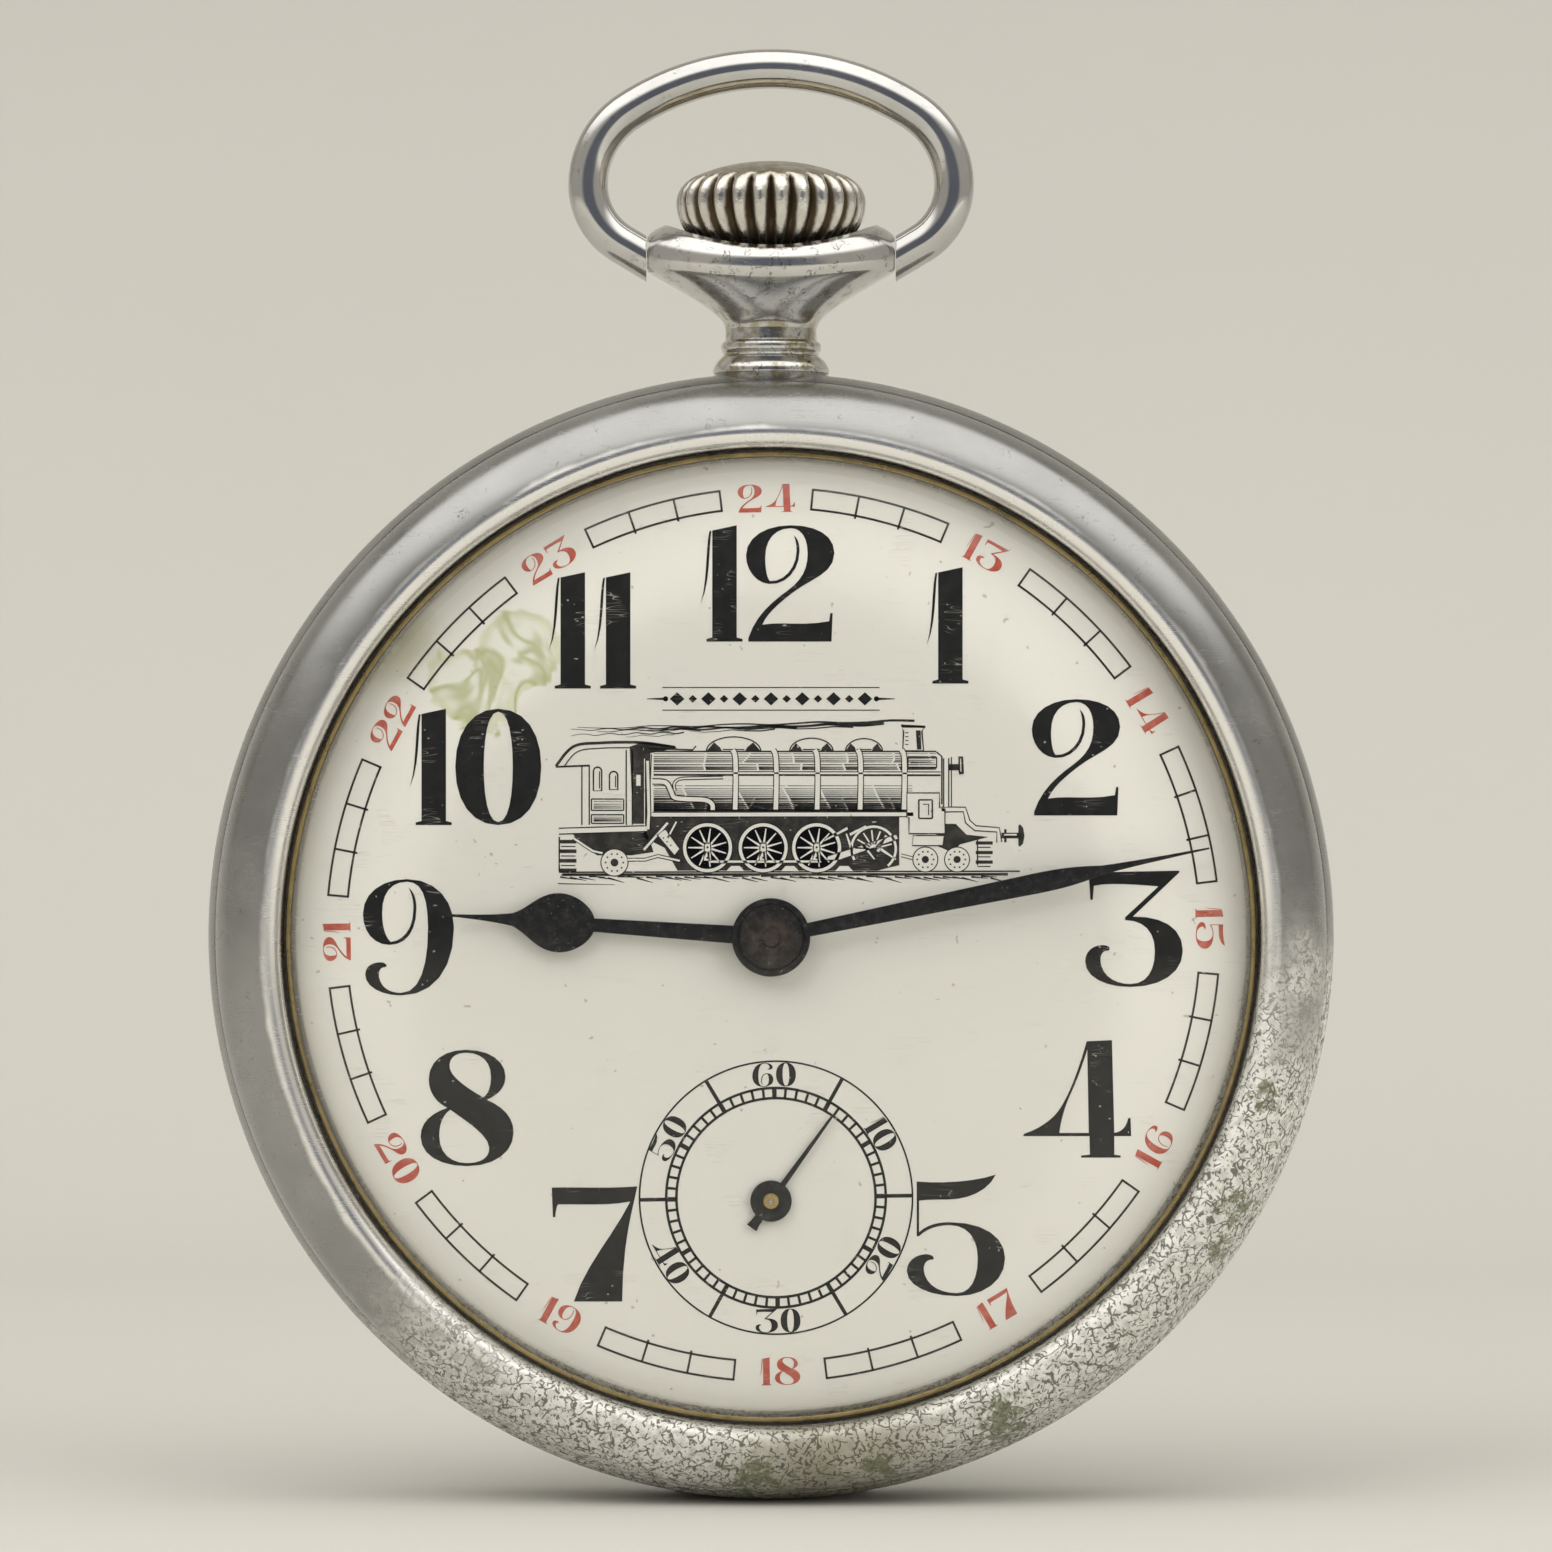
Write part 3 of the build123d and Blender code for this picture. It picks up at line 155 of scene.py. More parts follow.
def turned(profile, place=on_dial, steps=SEGMENTS):
    """Vertices and faces of a closed outline of (radius, height) turned once round; radius 0 is a pole."""
    verts, rings = [], []
    for radius, height in profile:
        if radius < 1e-6:
            rings.append([len(verts)] * steps)
            verts.append(place(0, height, 0))
        else:
            rings.append(list(range(len(verts), len(verts) + steps)))
            verts += [place(radius, height, math.tau * k / steps) for k in range(steps)]
    faces = []
    for n, ring in enumerate(rings):
        other = rings[(n + 1) % len(rings)]
        for k in range(steps):
            j = (k + 1) % steps
            corners = list(dict.fromkeys((ring[k], ring[j], other[j], other[k])))
            if len(corners) > 2:
                faces.append(corners)
    return verts, faces


def grid(rows, closed_rows=False):
    """Vertices and faces of rings of equally many points; the first and last ring are closed by a face."""
    count = len(rows[0])
    verts = [p for row in rows for p in row]
    faces = []
    last = len(rows) if closed_rows else len(rows) - 1
    for n in range(last):
        a, b = n * count, ((n + 1) % len(rows)) * count
        faces += [(a + k, a + (k + 1) % count, b + (k + 1) % count, b + k) for k in range(count)]
    if not closed_rows:
        faces += [tuple(range(count)), tuple(range((len(rows) - 1) * count, len(rows) * count))]
    return verts, faces


def prism(outline, x0, x1):
    """An outline of (y, z) drawn out along X."""
    return grid([[(x, y, z) for y, z in outline] for x in (x0, x1)])


# ---------------------------------------------------------------- node helpers
def shader(name, **constants):
    mat = bpy.data.materials.new(name)
    mat.use_nodes = True
    tree = mat.node_tree
    tree.nodes.clear()
    out = tree.nodes.new("ShaderNodeOutputMaterial")
    bsdf = tree.nodes.new("ShaderNodeBsdfPrincipled")
    tree.links.new(bsdf.outputs[0], out.inputs[0])
    for key, value in constants.items():
        bsdf.inputs[key.replace("_", " ")].default_value = value
    return mat, tree, bsdf


def add(tree, kind, inputs=None, **settings):
    """A node with its settings, and its inputs given as values or as the sockets that feed them."""
    node = tree.nodes.new("ShaderNode" + kind)
    for key, value in settings.items():
        setattr(node, key, value)
    for key, value in (inputs or {}).items():
        if isinstance(value, bpy.types.NodeSocket):
            tree.links.new(value, node.inputs[key])
        else:
            node.inputs[key].default_value = value
    return node


def calc(tree, operation, *values, clamp=False):
    return add(tree, "Math", dict(enumerate(values)), operation=operation, use_clamp=clamp).outputs[0]


def times(tree, a, b, **settings):
    return calc(tree, "MULTIPLY", a, b, **settings)


def plus(tree, a, b, **settings):
    return calc(tree, "ADD", a, b, **settings)


def minus(tree, a, b):
    return calc(tree, "SUBTRACT", a, b)


def from_middle(tree, value):
    """How far a noise is from its middle value, with its sign."""
    return minus(tree, value, 0.5)


def highest(tree, values):
    """The largest of several values."""
    top = None
    for value in values:
        top = value if top is None else calc(tree, "MAXIMUM", top, value)
    return top


def span(tree, value, low, high, to_low=0.0, to_high=1.0):
    """The value carried smoothly from one range to another."""
    inputs = {"Value": value, "From Min": low, "From Max": high, "To Min": to_low, "To Max": to_high}
    return add(tree, "MapRange", inputs, interpolation_type="SMOOTHSTEP").outputs[0]


def blended(tree, factor, a, b):
    return add(tree, "Mix", {0: factor, 6: a, 7: b}, data_type="RGBA").outputs[2]


def place_mm(tree, scale=(1, 1, 1), turn=(0, 0, 0)):
    """Object coordinates in millimetres."""
    at = add(tree, "TexCoord").outputs["Object"]
    inputs = {"Vector": at, "Scale": tuple(s / MM for s in scale), "Rotation": turn}
    return add(tree, "Mapping", inputs).outputs[0]


def noise(tree, at, scale, detail=2.0, rough=0.5, distortion=0.0):
    inputs = {"Vector": at, "Scale": scale, "Detail": detail, "Roughness": rough, "Distortion": distortion}
    return add(tree, "TexNoise", inputs).outputs[0]


def threads(tree, at, scale, width, cover, detail=1.0, distortion=0.6):
    """Thin broken lines: where a noise crosses its middle value, kept only where a second noise is high."""
    wander = noise(tree, at, scale, detail, 0.5, distortion)
    away = calc(tree, "ABSOLUTE", minus(tree, wander, 0.5))
    line = span(tree, away, width, 0.0)
    keep = span(tree, noise(tree, at, scale * 0.8, 1.0), cover, cover + 0.06)
    return times(tree, line, keep)


def scratches(tree, turns, scale=0.35, stretch=14.0, width=0.012, cover=0.5):
    """Long straight hairlines at several angles in the plane of the dial."""
    lines = []
    for turn in turns:
        at = place_mm(tree, (1, 1, stretch), (0, math.radians(turn), 0))
        away = calc(tree, "ABSOLUTE", from_middle(tree, noise(tree, at, scale, 0.0)))
        lines.append(span(tree, away, width, 0.0))
    keep = span(tree, noise(tree, place_mm(tree), 0.7, 1.0), cover, cover + 0.08)
    return times(tree, highest(tree, lines), keep)


def flattened(tree, at):
    """The place without its depth."""
    return add(tree, "VectorMath", {0: at, 1: (1.0, 0.0, 1.0)}, operation="MULTIPLY").outputs[0]


def dial_radius(tree, at):
    return add(tree, "VectorMath", {0: flattened(tree, at)}, operation="LENGTH").outputs["Value"]


def spot(tree, at, centre, radius):
    """1 at a point of the dial's plane, falling to 0 at the radius."""
    inputs = {0: flattened(tree, at), 1: (centre[0], 0.0, centre[1])}
    away = add(tree, "VectorMath", inputs, operation="DISTANCE").outputs["Value"]
    return span(tree, away, radius, 0.0)


def bump(tree, bsdf, height, distance):
    inputs = {"Height": height, "Distance": distance, "Strength": 1.0}
    tree.links.new(add(tree, "Bump", inputs).outputs[0], bsdf.inputs["Normal"])


# ---------------------------------------------------------------- materials
def nickel(name, tint=(0.39, 0.388, 0.378), pitted=True, brassy=0.0, gloss=(0.19, 0.31)):
    """Old nickel plating: hairlines and haze all over, and below to the right pits, cracks and verdigris."""
    mat, tree, bsdf = shader(name)
    at = place_mm(tree)
    xyz = add(tree, "SeparateXYZ", {0: at})
    x, z = xyz.outputs[0], xyz.outputs[2]
    haze = noise(tree, at, 0.22, 4.0, 0.6)
    lines = scratches(tree, (14, 62, 127))
    colour = blended(tree, span(tree, haze, 0.3, 0.7), (*(c * 0.84 for c in tint), 1), (*tint, 1))
    specks = threads(tree, at, 1.5, 0.020, 0.62, 2.0, 1.5)
    colour = blended(tree, times(tree, specks, 0.7), colour, (0.13, 0.115, 0.09, 1))
    colour = blended(tree, times(tree, lines, 0.25), colour, (0.36, 0.35, 0.32, 1))
    rough = plus(tree, span(tree, haze, 0.25, 0.75, *gloss), times(tree, lines, 0.16))
    relief = times(tree, haze, 0.25)
    metal = 1.0
    if pitted:
        # towards a point between 5 and 6 o'clock, where the plating has gone
        toward = plus(tree, times(tree, x, 0.342), times(tree, z, -0.940))
        toward = plus(tree, toward, times(tree, from_middle(tree, haze), 16.0))
        y = xyz.outputs[1]
        worn = times(tree, span(tree, toward, 7.0, 15.0), span(tree, y, 1.0, -1.0, 0.35, 1.0))
        # the inner lip, in a paler tint that stands in for its bright reflection
        radius = dial_radius(tree, at)
        lip = plus(tree, radius, times(tree, from_middle(tree, haze), 0.8))
        lip = times(tree, span(tree, lip, 23.45, 23.15), span(tree, y, -2.0, -3.0))
        colour = blended(tree, times(tree, lip, 0.92), colour, (0.98, 0.965, 0.93, 1))
        pits = noise(tree, at, 2.4, 3.0, 0.7)
        sway = add(tree, "TexNoise", {"Vector": at, "Scale": 0.9}).outputs[1]
        bent = add(tree, "VectorMath", {0: at, 1: sway}, operation="ADD").outputs[0]
        cracks = []
        for scale, width, cover in ((1.5, 0.075, 0.45), (2.9, 0.12, 0.49)):
            cells = add(tree, "TexVoronoi", {"Vector": bent, "Scale": scale}, feature="DISTANCE_TO_EDGE")
            line = span(tree, cells.outputs["Distance"], width, width * 0.3)
            keep = span(tree, noise(tree, at, scale * 1.7, 1.0), cover, cover + 0.06)
            cracks.append(times(tree, line, keep))
        cracks = times(tree, highest(tree, cracks), worn)
        grain = blended(tree, span(tree, pits, 0.33, 0.62), (0.56, 0.55, 0.505, 1), (0.84, 0.83, 0.78, 1))
        stain = times(tree, spot(tree, at, (3.0, -24.4), 8.0), span(tree, haze, 0.3, 0.55, 0.4, 0.9))
        grain = blended(tree, stain, grain, (0.27, 0.255, 0.17, 1))
        colour = blended(tree, times(tree, worn, 0.9), colour, grain)
        colour = blended(tree, times(tree, cracks, 0.85), colour, (0.085, 0.075, 0.055, 1))
        rough = plus(tree, times(tree, rough, minus(tree, 1.0, worn)),
                     times(tree, worn, span(tree, pits, 0.3, 0.7, 0.36, 0.58)))
        relief = plus(tree, relief, times(tree, times(tree, pits, worn), 1.4))
        relief = minus(tree, relief, times(tree, cracks, 0.6))
        green = highest(tree, [spot(tree, at, centre, radius) for centre, radius in VERDIGRIS])
        ragged = minus(tree, noise(tree, at, 1.6, 4.0, 0.75), 0.5)
        green = span(tree, plus(tree, green, times(tree, ragged, 2.6)), 0.62, 0.95)
        green = times(tree, green, worn)
        green_tone = blended(tree, pits, (0.030, 0.040, 0.012, 1), (0.20, 0.22, 0.10, 1))
        colour = blended(tree, times(tree, green, 0.8), colour, green_tone)
        metal = minus(tree, 1.0, calc(tree, "MAXIMUM", times(tree, green, 0.8),
                                                 times(tree, worn, 0.5)))
    if brassy:
        # the plating is thin on the neck, under the head
        neck = times(tree, span(tree, z, 30.4, 28.6), 0.5)
        patches = plus(tree, noise(tree, at, 1.1, 3.0, 0.6), times(tree, neck, brassy))
        colour = blended(tree, span(tree, patches, 0.60, 0.76, 0.0, 0.8), colour, (0.33, 0.285, 0.17, 1))
        specks = threads(tree, at, 2.2, 0.05, 0.55, 3.0, 1.5)
        colour = blended(tree, times(tree, specks, 0.8), colour, (0.09, 0.08, 0.06, 1))
    tree.links.new(colour, bsdf.inputs["Base Color"])
    tree.links.new(rough, bsdf.inputs["Roughness"])
    if pitted:
        tree.links.new(metal, bsdf.inputs["Metallic"])
    else:
        bsdf.inputs["Metallic"].default_value = metal
    bump(tree, bsdf, relief, 0.018 * MM)
    return mat


# Where the green corrosion sits on the bezel: (X, Z) and its radius
VERDIGRIS = [((22.6, -7.2), 1.8), ((21.3, -12.4), 2.2), ((20.6, -14.2), 1.5), ((10.6, -22.2), 3.0),
             ((5.0, -24.2), 2.0), ((-0.8, -24.7), 2.8)]


def crown_metal():
    """Nickel worn through to brass over the cap, and dark brown painted shade in the flutes."""
    mat, tree, bsdf = shader("crown_nickel", Metallic=1.0)
    at = place_mm(tree)
    groove = add(tree, "Attribute", attribute_name="groove").outputs["Fac"]
    up = add(tree, "SeparateXYZ", {0: at}).outputs[2]
    mottle = noise(tree, at, 1.6, 4.0, 0.65)
    cap = span(tree, up, 34.75, 35.35)
    depth = plus(tree, groove, times(tree, from_middle(tree, mottle), 0.5))
    colour = blended(tree, span(tree, mottle, 0.3, 0.7), (0.60, 0.57, 0.52, 1), (0.74, 0.72, 0.68, 1))
    # painted shade: the flutes turn dark brown along their grooves, standing in for the shadow that falls in
    # them
    colour = blended(tree, span(tree, depth, 0.22, 0.62), colour, (0.115, 0.085, 0.052, 1))
    cap_tone = blended(tree, span(tree, mottle, 0.35, 0.65), (0.24, 0.19, 0.11, 1), (0.46, 0.42, 0.34, 1))
    colour = blended(tree, cap, colour, cap_tone)
    tree.links.new(colour, bsdf.inputs["Base Color"])
    tree.links.new(span(tree, depth, 0.1, 0.8, 0.22, 0.55), bsdf.inputs["Roughness"])
    bump(tree, bsdf, noise(tree, at, 5.0, 3.0), 0.02 * MM)
    return mat


def enamel():
    """Fired enamel: an off-white glass with specks, painted yellowish shade towards its rim and a mended chip
    near 10 o'clock.
    """
    mat, tree, bsdf = shader("white_enamel", Roughness=0.22, IOR=1.5, Coat_Weight=0.3, Coat_Roughness=0.08)
    at = place_mm(tree)
    radius = dial_radius(tree, at)
    cloud = noise(tree, at, 0.07, 3.0)
    colour = blended(tree, cloud, (0.875, 0.860, 0.815, 1), (0.91, 0.895, 0.855, 1))
    patchy = span(tree, noise(tree, at, 0.25, 3.0), 0.2, 0.6, 0.5, 1.0)
    # painted shade: the enamel darkens and yellows towards its rim, standing in for the shade cast by the bezel
    # and the crystal's edge
    rim = times(tree, span(tree, radius, 20.6, DIAL_R), patchy)
    colour = blended(tree, times(tree, rim, 0.12), colour, (0.72, 0.64, 0.44, 1))
    specks = span(tree, noise(tree, at, 2.3, 1.0), 0.765, 0.80)
    colour = blended(tree, times(tree, specks, 0.6), colour, (0.42, 0.38, 0.28, 1))
    # a mended chip: pale inside, with wrinkled yellow-green round it
    wander = minus(tree, noise(tree, at, 0.34, 3.0, 0.6, 0.9), 0.5)
    chip = calc(tree, "MAXIMUM", spot(tree, at, (-11.5, 13.2), 3.0), spot(tree, at, (-13.7, 11.4), 2.9))
    near = times(tree, spot(tree, at, (-12.5, 12.2), 6.5), 3.0, clamp=True)
    wander = times(tree, wander, near)
    chip = plus(tree, chip, times(tree, wander, 1.2))
    inside = span(tree, chip, 0.24, 0.36)
    core = span(tree, chip, 0.40, 0.62)
    wrinkle = calc(tree, "ABSOLUTE", minus(tree, noise(tree, at, 0.33, 2.0, 0.5, 1.2), 0.5))
    wrinkle = times(tree, span(tree, wrinkle, 0.075, 0.0), inside)
    ring = times(tree, minus(tree, 1.0, core), inside)
    colour = blended(tree, times(tree, core, 0.5), colour, (0.80, 0.83, 0.72, 1))
    colour = blended(tree, times(tree, ring, 0.45), colour, (0.58, 0.60, 0.30, 1))
    colour = blended(tree, times(tree, wrinkle, 0.65), colour, (0.40, 0.43, 0.15, 1))
    smear = times(tree, spot(tree, at, (-17.5, 13.9), 3.4), span(tree, noise(tree, at, 0.5, 3.0), 0.25, 0.6))
    colour = blended(tree, times(tree, smear, 0.8), colour, (0.46, 0.45, 0.24, 1))
    hair = scratches(tree, (23, 64, 131), 0.22, 18.0, 0.006, 0.60)
    colour = blended(tree, times(tree, hair, 0.25), colour, (0.60, 0.56, 0.46, 1))
    tree.links.new(colour, bsdf.inputs["Base Color"])
    relief = plus(tree, times(tree, cloud, 0.4), times(tree, wrinkle, -0.5))
    bump(tree, bsdf, minus(tree, relief, times(tree, hair, 0.2)), 0.03 * MM)
    return mat


def printing(name, dark, worn, wear=0.5):
    """Printed enamel colour, thin in places, with pale nicks and pinholes."""
    mat, tree, bsdf = shader(name, Roughness=0.42, Specular_IOR_Level=0.2)
    at = place_mm(tree)
    tone = span(tree, noise(tree, at, 1.2, 4.0, 0.65), 0.35, 0.75)
    colour = blended(tree, times(tree, tone, wear), (*dark, 1), (*worn, 1))
    nicks = scratches(tree, (35, 118), 0.5, 9.0, 0.010, 0.58)
    pinholes = span(tree, noise(tree, at, 5.2, 0.0), 0.80, 0.84)
    marks = calc(tree, "MAXIMUM", times(tree, nicks, 0.6), times(tree, pinholes, 0.7))
    colour = blended(tree, marks, colour, (0.60, 0.58, 0.52, 1))
    tree.links.new(colour, bsdf.inputs["Base Color"])
    bump(tree, bsdf, noise(tree, at, 3.0, 2.0), 0.004 * MM)
    return mat


def black_hand():
    """Black oxide, browned round the boss, with dust and fine scratches."""
    mat, tree, bsdf = shader("black_hand", Metallic=0.5)
    at = place_mm(tree)
    mottle = noise(tree, at, 2.2, 4.0, 0.7)
    boss = times(tree, spot(tree, at, (0.0, 0.0), 1.75), 1.6, clamp=True)
    colour = blended(tree, span(tree, mottle, 0.4, 0.8), (0.010, 0.010, 0.011, 1), (0.050, 0.047, 0.044, 1))
    rust = blended(tree, span(tree, mottle, 0.3, 0.7), (0.028, 0.021, 0.018, 1), (0.10, 0.075, 0.062, 1))
    colour = blended(tree, times(tree, boss, 0.85), colour, rust)
    dust = span(tree, noise(tree, at, 5.5, 1.0), 0.70, 0.76)
    colour = blended(tree, times(tree, dust, 0.5), colour, (0.30, 0.29, 0.26, 1))
    tree.links.new(colour, bsdf.inputs["Base Color"])
    tree.links.new(span(tree, mottle, 0.2, 0.8, 0.30, 0.55), bsdf.inputs["Roughness"])
    bump(tree, bsdf, noise(tree, at, 6.0, 3.0), 0.010 * MM)
    return mat


def brass(name="gilt_brass", tone=(0.70, 0.53, 0.22), dirt=0.35):
    mat, tree, bsdf = shader(name, Metallic=1.0)
    at = place_mm(tree)
    mottle = noise(tree, at, 0.8, 4.0, 0.65)
    colour = blended(tree, span(tree, mottle, 0.3, 0.75), (*(c * 0.72 for c in tone), 1), (*tone, 1))
    grime = span(tree, noise(tree, at, 0.45, 4.0, 0.7), 0.50, 0.68)
    colour = blended(tree, times(tree, grime, dirt), colour, (0.10, 0.09, 0.035, 1))
    tree.links.new(colour, bsdf.inputs["Base Color"])
    tree.links.new(span(tree, mottle, 0.2, 0.8, 0.22, 0.40), bsdf.inputs["Roughness"])
    bump(tree, bsdf, noise(tree, at, 9.0, 2.0), 0.004 * MM)
    return mat


def steel():
    """Ground steel, with the grain of the wheel that finished it."""
    mat, tree, bsdf = shader("bright_steel", Metallic=1.0)
    grain = noise(tree, place_mm(tree, (1, 1, 14), (0, 0.6, 0)), 2.2, 3.0)
    tone = noise(tree, place_mm(tree), 0.7, 3.0)
    colour = blended(tree, tone, (0.50, 0.50, 0.51, 1), (0.68, 0.68, 0.69, 1))
    tree.links.new(colour, bsdf.inputs["Base Color"])
    tree.links.new(span(tree, grain, 0.2, 0.8, 0.18, 0.34), bsdf.inputs["Roughness"])
    bump(tree, bsdf, grain, 0.004 * MM)
    return mat


def blued():
    mat, tree, bsdf = shader("blued_steel", Metallic=1.0)
    tone = noise(tree, place_mm(tree), 1.1, 3.0)
    colour = blended(tree, span(tree, tone, 0.3, 0.7), (0.020, 0.035, 0.16, 1), (0.055, 0.10, 0.36, 1))
    tree.links.new(colour, bsdf.inputs["Base Color"])
    tree.links.new(span(tree, tone, 0.2, 0.8, 0.16, 0.28), bsdf.inputs["Roughness"])
    return mat


def striped_plate():
    """Nickel-plated bridges with broad overlapping stripes across them."""
    mat, tree, bsdf = shader("movement_nickel", Metallic=1.0)
    at = place_mm(tree, (1, 1, 1), (0, math.radians(22), 0))
    along = add(tree, "SeparateXYZ", {0: at}).outputs[0]
    stripe = calc(tree, "FRACT", times(tree, along, 1 / 2.1))
    arcs = noise(tree, place_mm(tree, (1, 1, 9), (0, math.radians(-20), 0)), 2.4, 2.0)
    tone = plus(tree, times(tree, stripe, 0.7), times(tree, arcs, 0.3))
    colour = blended(tree, tone, (0.60, 0.59, 0.55, 1), (0.80, 0.79, 0.75, 1))
    tree.links.new(colour, bsdf.inputs["Base Color"])
    tree.links.new(span(tree, tone, 0.1, 0.9, 0.22, 0.40), bsdf.inputs["Roughness"])
    bump(tree, bsdf, plus(tree, stripe, times(tree, arcs, 0.3)), 0.02 * MM)
    return mat


def ruby():
    mat, tree, bsdf = shader("ruby", Roughness=0.08, IOR=1.76, Coat_Weight=0.5)
    tone = noise(tree, place_mm(tree), 1.8, 2.0)
    colour = blended(tree, tone, (0.36, 0.012, 0.045, 1), (0.62, 0.04, 0.11, 1))
    tree.links.new(colour, bsdf.inputs["Base Color"])
    bump(tree, bsdf, tone, 0.004 * MM)
    return mat


def crystal_glass():
    """Thin clear glass: light goes straight through, and it mirrors at its edges and in its scratches."""
    mat = bpy.data.materials.new("crystal_glass")
    mat.use_nodes = True
    tree = mat.node_tree
    tree.nodes.clear()
    hair = scratches(tree, (28, 119), 0.20, 20.0, 0.006, 0.54)
    haze = span(tree, noise(tree, place_mm(tree), 0.5, 2.0), 0.35, 0.70, 0.02, 0.07)
    mirror = add(tree, "BsdfGlossy", {"Roughness": haze})
    clear = add(tree, "BsdfTransparent", {"Color": (0.995, 0.995, 0.985, 1)})
    shine = add(tree, "Fresnel", {"IOR": 1.46}).outputs[0]
    share = plus(tree, times(tree, shine, 0.62), times(tree, hair, 0.10), clamp=True)
    mix = add(tree, "MixShader", {0: share, 1: clear.outputs[0], 2: mirror.outputs[0]})
    out = tree.nodes.new("ShaderNodeOutputMaterial")
    tree.links.new(mix.outputs[0], out.inputs[0])
    return mat


def paper(name, tone, grain):
    """Matt studio paper."""
    mat, tree, bsdf = shader(name, Roughness=0.9)
    mottle = noise(tree, place_mm(tree), grain, 4.0)
    tree.links.new(
        blended(tree, mottle, (*(c * 0.985 for c in tone), 1), (*(min(c * 1.015, 1) for c in tone), 1)),
        bsdf.inputs["Base Color"],
    )
    return mat


MATERIALS = {
    "nickel_case": nickel("nickel_case"),
    "pendant_nickel": nickel("pendant_nickel", (0.66, 0.65, 0.63), False, 0.28, gloss=(0.10, 0.19)),
    "bow_nickel": nickel("bow_nickel", (0.62, 0.615, 0.60), pitted=False, gloss=(0.07, 0.15)),
    "crown_nickel": crown_metal(),
    "crystal_glass": crystal_glass(),
    "white_enamel": enamel(),
    "black_print": printing("black_print", (0.008, 0.008, 0.008), (0.028, 0.027, 0.025)),
    "engraving_print": printing("engraving_print", (0.022, 0.021, 0.019), (0.075, 0.070, 0.062), 0.8),
    "red_print": printing("red_print", (0.50, 0.085, 0.055), (0.66, 0.24, 0.19), 0.8),
    "black_hand": black_hand(),
    "gilt_brass": brass(),
    "bright_steel": steel(),
    "blued_steel": blued(),
    "movement_nickel": striped_plate(),
    "ruby": ruby(),
}
for entry in frame["record"]["subparts"]:
    node = frame["nodes"][entry["node"]]
    node.data.materials.clear()
    node.data.materials.append(MATERIALS[entry["material_slot"]])


# ---------------------------------------------------------------- case
def case_band():
    profile = rounded([
        *arc3((25.55, 3.0), (25.9, 3.55), (CASE_R, 4.6), 12),
        *arc3((CASE_R, 6.8), (25.92, 7.75), (25.65, 8.4), 12),
        (24.4, 8.4), (24.4, 8.9, 0.06), (22.5, 8.9, 0.06), (22.5, 7.4), (21.65, 7.4), (21.65, 3.8),
        (23.0, 3.8), (23.0, 2.6, 0.06), (24.4, 2.6, 0.06), (24.4, 3.0),
    ])
    piece("band", *turned(profile), MATERIALS["nickel_case"], "case", ["case_band"], "nickel_case")
    low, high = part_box("hinge_pin")
    hinge_y, hinge_z = (low.y + high.y) / 2 / MM, -25.6
    half = -low.x / MM
    for side, name in ((-1, "band_knuckle_left"), (1, "band_knuckle_right")):
        ends = sorted((side * 1.6, side * half))
        piece(name, *prism(knuckle(hinge_y, hinge_z, -0.9), *ends), MATERIALS["nickel_case"], "case",
              slot="nickel_case")
    piece("cover_knuckle", *prism(knuckle(hinge_y, hinge_z, 0.42), -1.5, 1.5), MATERIALS["nickel_case"],
          "rear_cover", slot="nickel_case")


def knuckle(y, z, leaf):
    """Outline of a hinge knuckle: round below, with a leaf that runs up to its wall."""
    turns = [math.radians(180 + 180 * n / 20) for n in range(21)]
    curve = [(y + 0.5 * math.cos(t), z + 0.5 * math.sin(t)) for t in turns]
    return curve + [(y + 0.5, z + 0.12), (y + leaf, z + 0.62), (y + leaf - 0.6, z + 0.62)]


def rear_cover():
    profile = rounded([
        (0, 0),
        *arc3((15.5, 0), (21.3, 0.74), (25.05, 2.25), 40),
        *arc3((25.05, 2.25), (25.38, 2.55), (25.5, 2.95), 8),
        (24.55, 2.95), (24.55, 2.5),
        *arc3((24.5, 2.45), (20.9, 1.26), (15.5, 0.55), 24),
        (0, 0.55),
    ])
    piece("rear_lid", *turned(profile), MATERIALS["nickel_case"], "rear_cover", ["rear_cover"], "nickel_case")


def bezel():
    profile = rounded([
        (BEZEL_R, 8.45, 0.1),
        *arc3((BEZEL_R - 0.005, 8.6), (24.98, 10.1), (23.35, 11.2), 28),
        *arc3((23.35, 11.2), (22.8, 11.17), (22.5, 10.85), 12)[1:],
        (22.5, 10.72, 0.04), (23.0, 10.72), (23.0, 10.1), (22.5, 10.1, 0.06), (22.5, 9.1, 0.06),
        (24.55, 9.1), (24.55, 8.45),
    ])
    piece("bezel_ring", *turned(profile), MATERIALS["nickel_case"], "bezel", ["bezel"], "nickel_case")


def crystal():
    top = CRYSTAL_H
    profile = [
        (0, top), *arc3((0.4, top), (9.3, top - 0.0925), (18.6, top - 0.37), 30),
        *arc3((18.6, top - 0.37), (21.1, 11.62), (22.42, 10.7), 20)[1:],
        (22.95, 10.7), (22.95, 10.15),
        *arc3((22.0, 10.15), (20.7, 11.02), (18.3, 11.5), 16),
        *arc3((18.3, 11.5), (9.15, 11.7625), (0.4, 11.85), 20)[1:], (0, 11.85),
    ]
    piece("glass", *turned(profile), MATERIALS["crystal_glass"], "bezel", ["crystal"], "crystal_glass")


# ---------------------------------------------------------------- pendant, bow and crown
EAR_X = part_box("pendant")[1].x / MM
SADDLE_R = 10.4
SADDLE_Z = 31.8


def saddle(x):
    """Height of the pendant's rim, which dips in the middle for the crown."""
    return SADDLE_Z + SADDLE_R - math.sqrt(SADDLE_R**2 - x**2)


